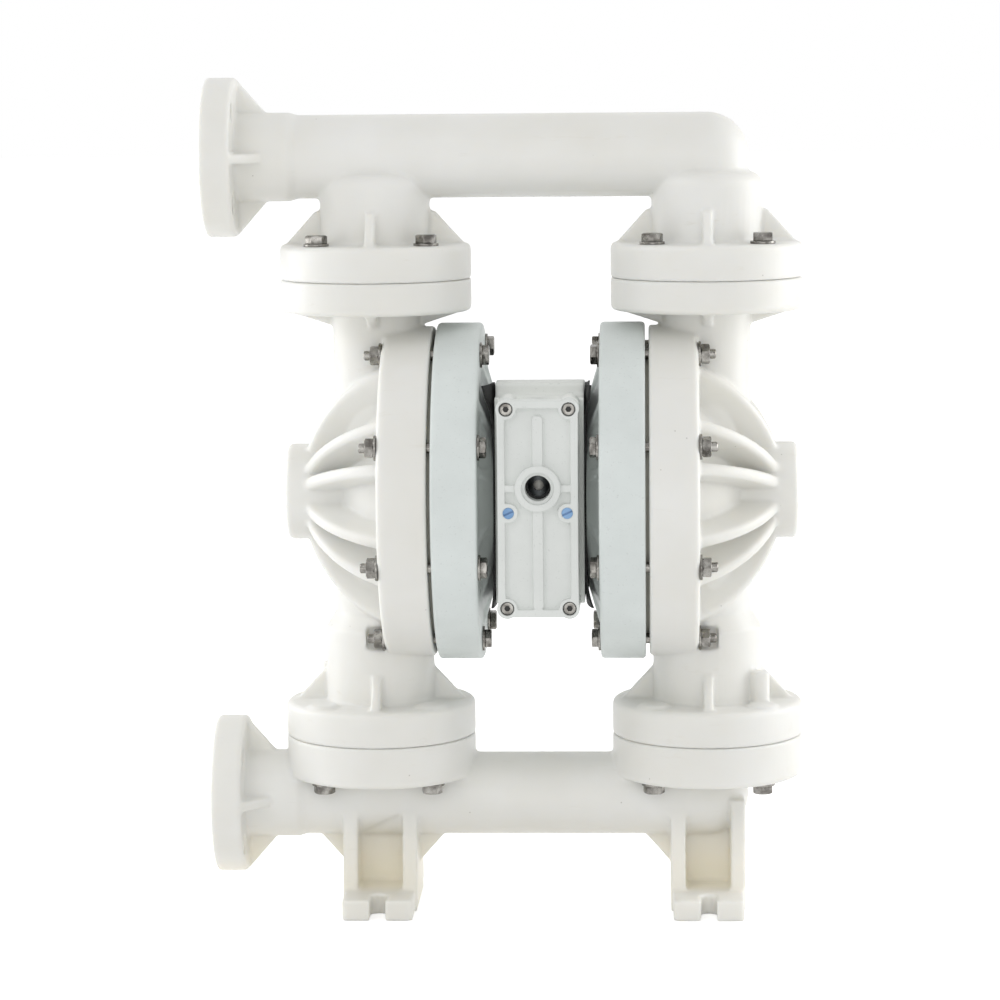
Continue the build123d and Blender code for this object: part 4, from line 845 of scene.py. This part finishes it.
# ---- camera, floor and light ----
def camera():
    """Long lens at the front, a little above the middle and to the right."""
    yaw, pitch, roll = 0.0431, 0.1242, -0.0092
    forward = Vector((-sin(yaw) * cos(pitch), cos(yaw) * cos(pitch), -sin(pitch)))
    level = Vector((cos(yaw), sin(yaw), 0))
    upright = level.cross(forward)
    right = cos(roll) * level + sin(roll) * upright
    up = -sin(roll) * level + cos(roll) * upright
    lens = bpy.data.cameras.new("camera")
    lens.lens, lens.sensor_width, lens.sensor_fit = 124.0, 36.0, "HORIZONTAL"
    lens.clip_end = 100.0
    eye = bpy.data.objects.new("camera", lens)
    bpy.context.collection.objects.link(eye)
    turned = Matrix((right, up, -forward)).transposed().to_4x4()
    eye.matrix_world = Matrix.Translation((0.1015, -3.3103, 0.8091)) @ turned
    bpy.context.scene.camera = eye


def seen_itself(tree):
    """1 where the camera sees a thing, straight, in a gloss or through glass; 0 where it only lights."""
    path = add(tree, "LightPath")
    seen = path.outputs["Is Camera Ray"]
    for ray in ("Is Glossy Ray", "Is Transmission Ray"):
        seen = add(tree, "Math", {0: seen, 1: path.outputs[ray]}, operation="MAXIMUM").outputs[0]
    return seen


FLOOR_GLOW = 0.5  # lifts the floor to white where it is seen
WORLD_LIGHT = 0.74  # of the white room as a light


def floor():
    """White floor that reaches the horizon and shows the pump's soft shadow."""
    bpy.ops.mesh.primitive_plane_add(size=60, location=(0, 0, 0))
    sheet = newest("floor")
    material, tree, out, _ = new_material("studio_floor")
    lift = add(tree, "Math", {0: seen_itself(tree), 1: FLOOR_GLOW}, operation="MULTIPLY")
    matt = add(tree, "BsdfDiffuse", {"Color": linear("#F2F2F2")})
    glow = add(tree, "Emission", {"Color": (1, 1, 1, 1), "Strength": lift.outputs[0]})
    both = add(tree, "AddShader", {0: matt.outputs[0], 1: glow.outputs[0]})
    tree.links.new(both.outputs[0], out.inputs["Surface"])
    sheet.data.materials.append(material)


def surroundings():
    """White all round: pure white where it is seen, dimmer as a light."""
    world = bpy.data.worlds.new("white_room")
    bpy.context.scene.world = world
    world.use_nodes = True
    tree = world.node_tree
    tree.nodes.clear()
    strength = add(tree, "MapRange", {"Value": seen_itself(tree), "To Min": WORLD_LIGHT, "To Max": 1.0})
    background = add(tree, "Background", {"Color": (1, 1, 1, 1), "Strength": strength.outputs[0]})
    out = add(tree, "OutputWorld")
    tree.links.new(background.outputs[0], out.inputs["Surface"])


def lamp(name, place, aim, size, power):
    """Soft box at a place, turned to what it lights."""
    data = bpy.data.lights.new(name, "AREA")
    data.shape, data.size, data.energy = "SQUARE", size, power
    box = bpy.data.objects.new(name, data)
    bpy.context.collection.objects.link(box)
    box.location = place
    box.rotation_euler = (Vector(aim) - Vector(place)).to_track_quat("-Z", "Y").to_euler()


camera()
floor()
surroundings()
lamp("key_softbox", (-1.6, -2.4, 2.6), (0, 0, 0.4), 1.8, 12)
lamp("front_softbox", (0.2, -4.0, 0.35), (0, 0, 0.3), 2.0, 17)
lamp("left_softbox", (-2.2, 0.4, 0.9), (0, 0, 0.4), 1.6, 21)
lamp("right_softbox", (2.2, 0.4, 0.9), (0, 0, 0.4), 1.6, 24)

bpy.context.scene.view_settings.view_transform = "Standard"
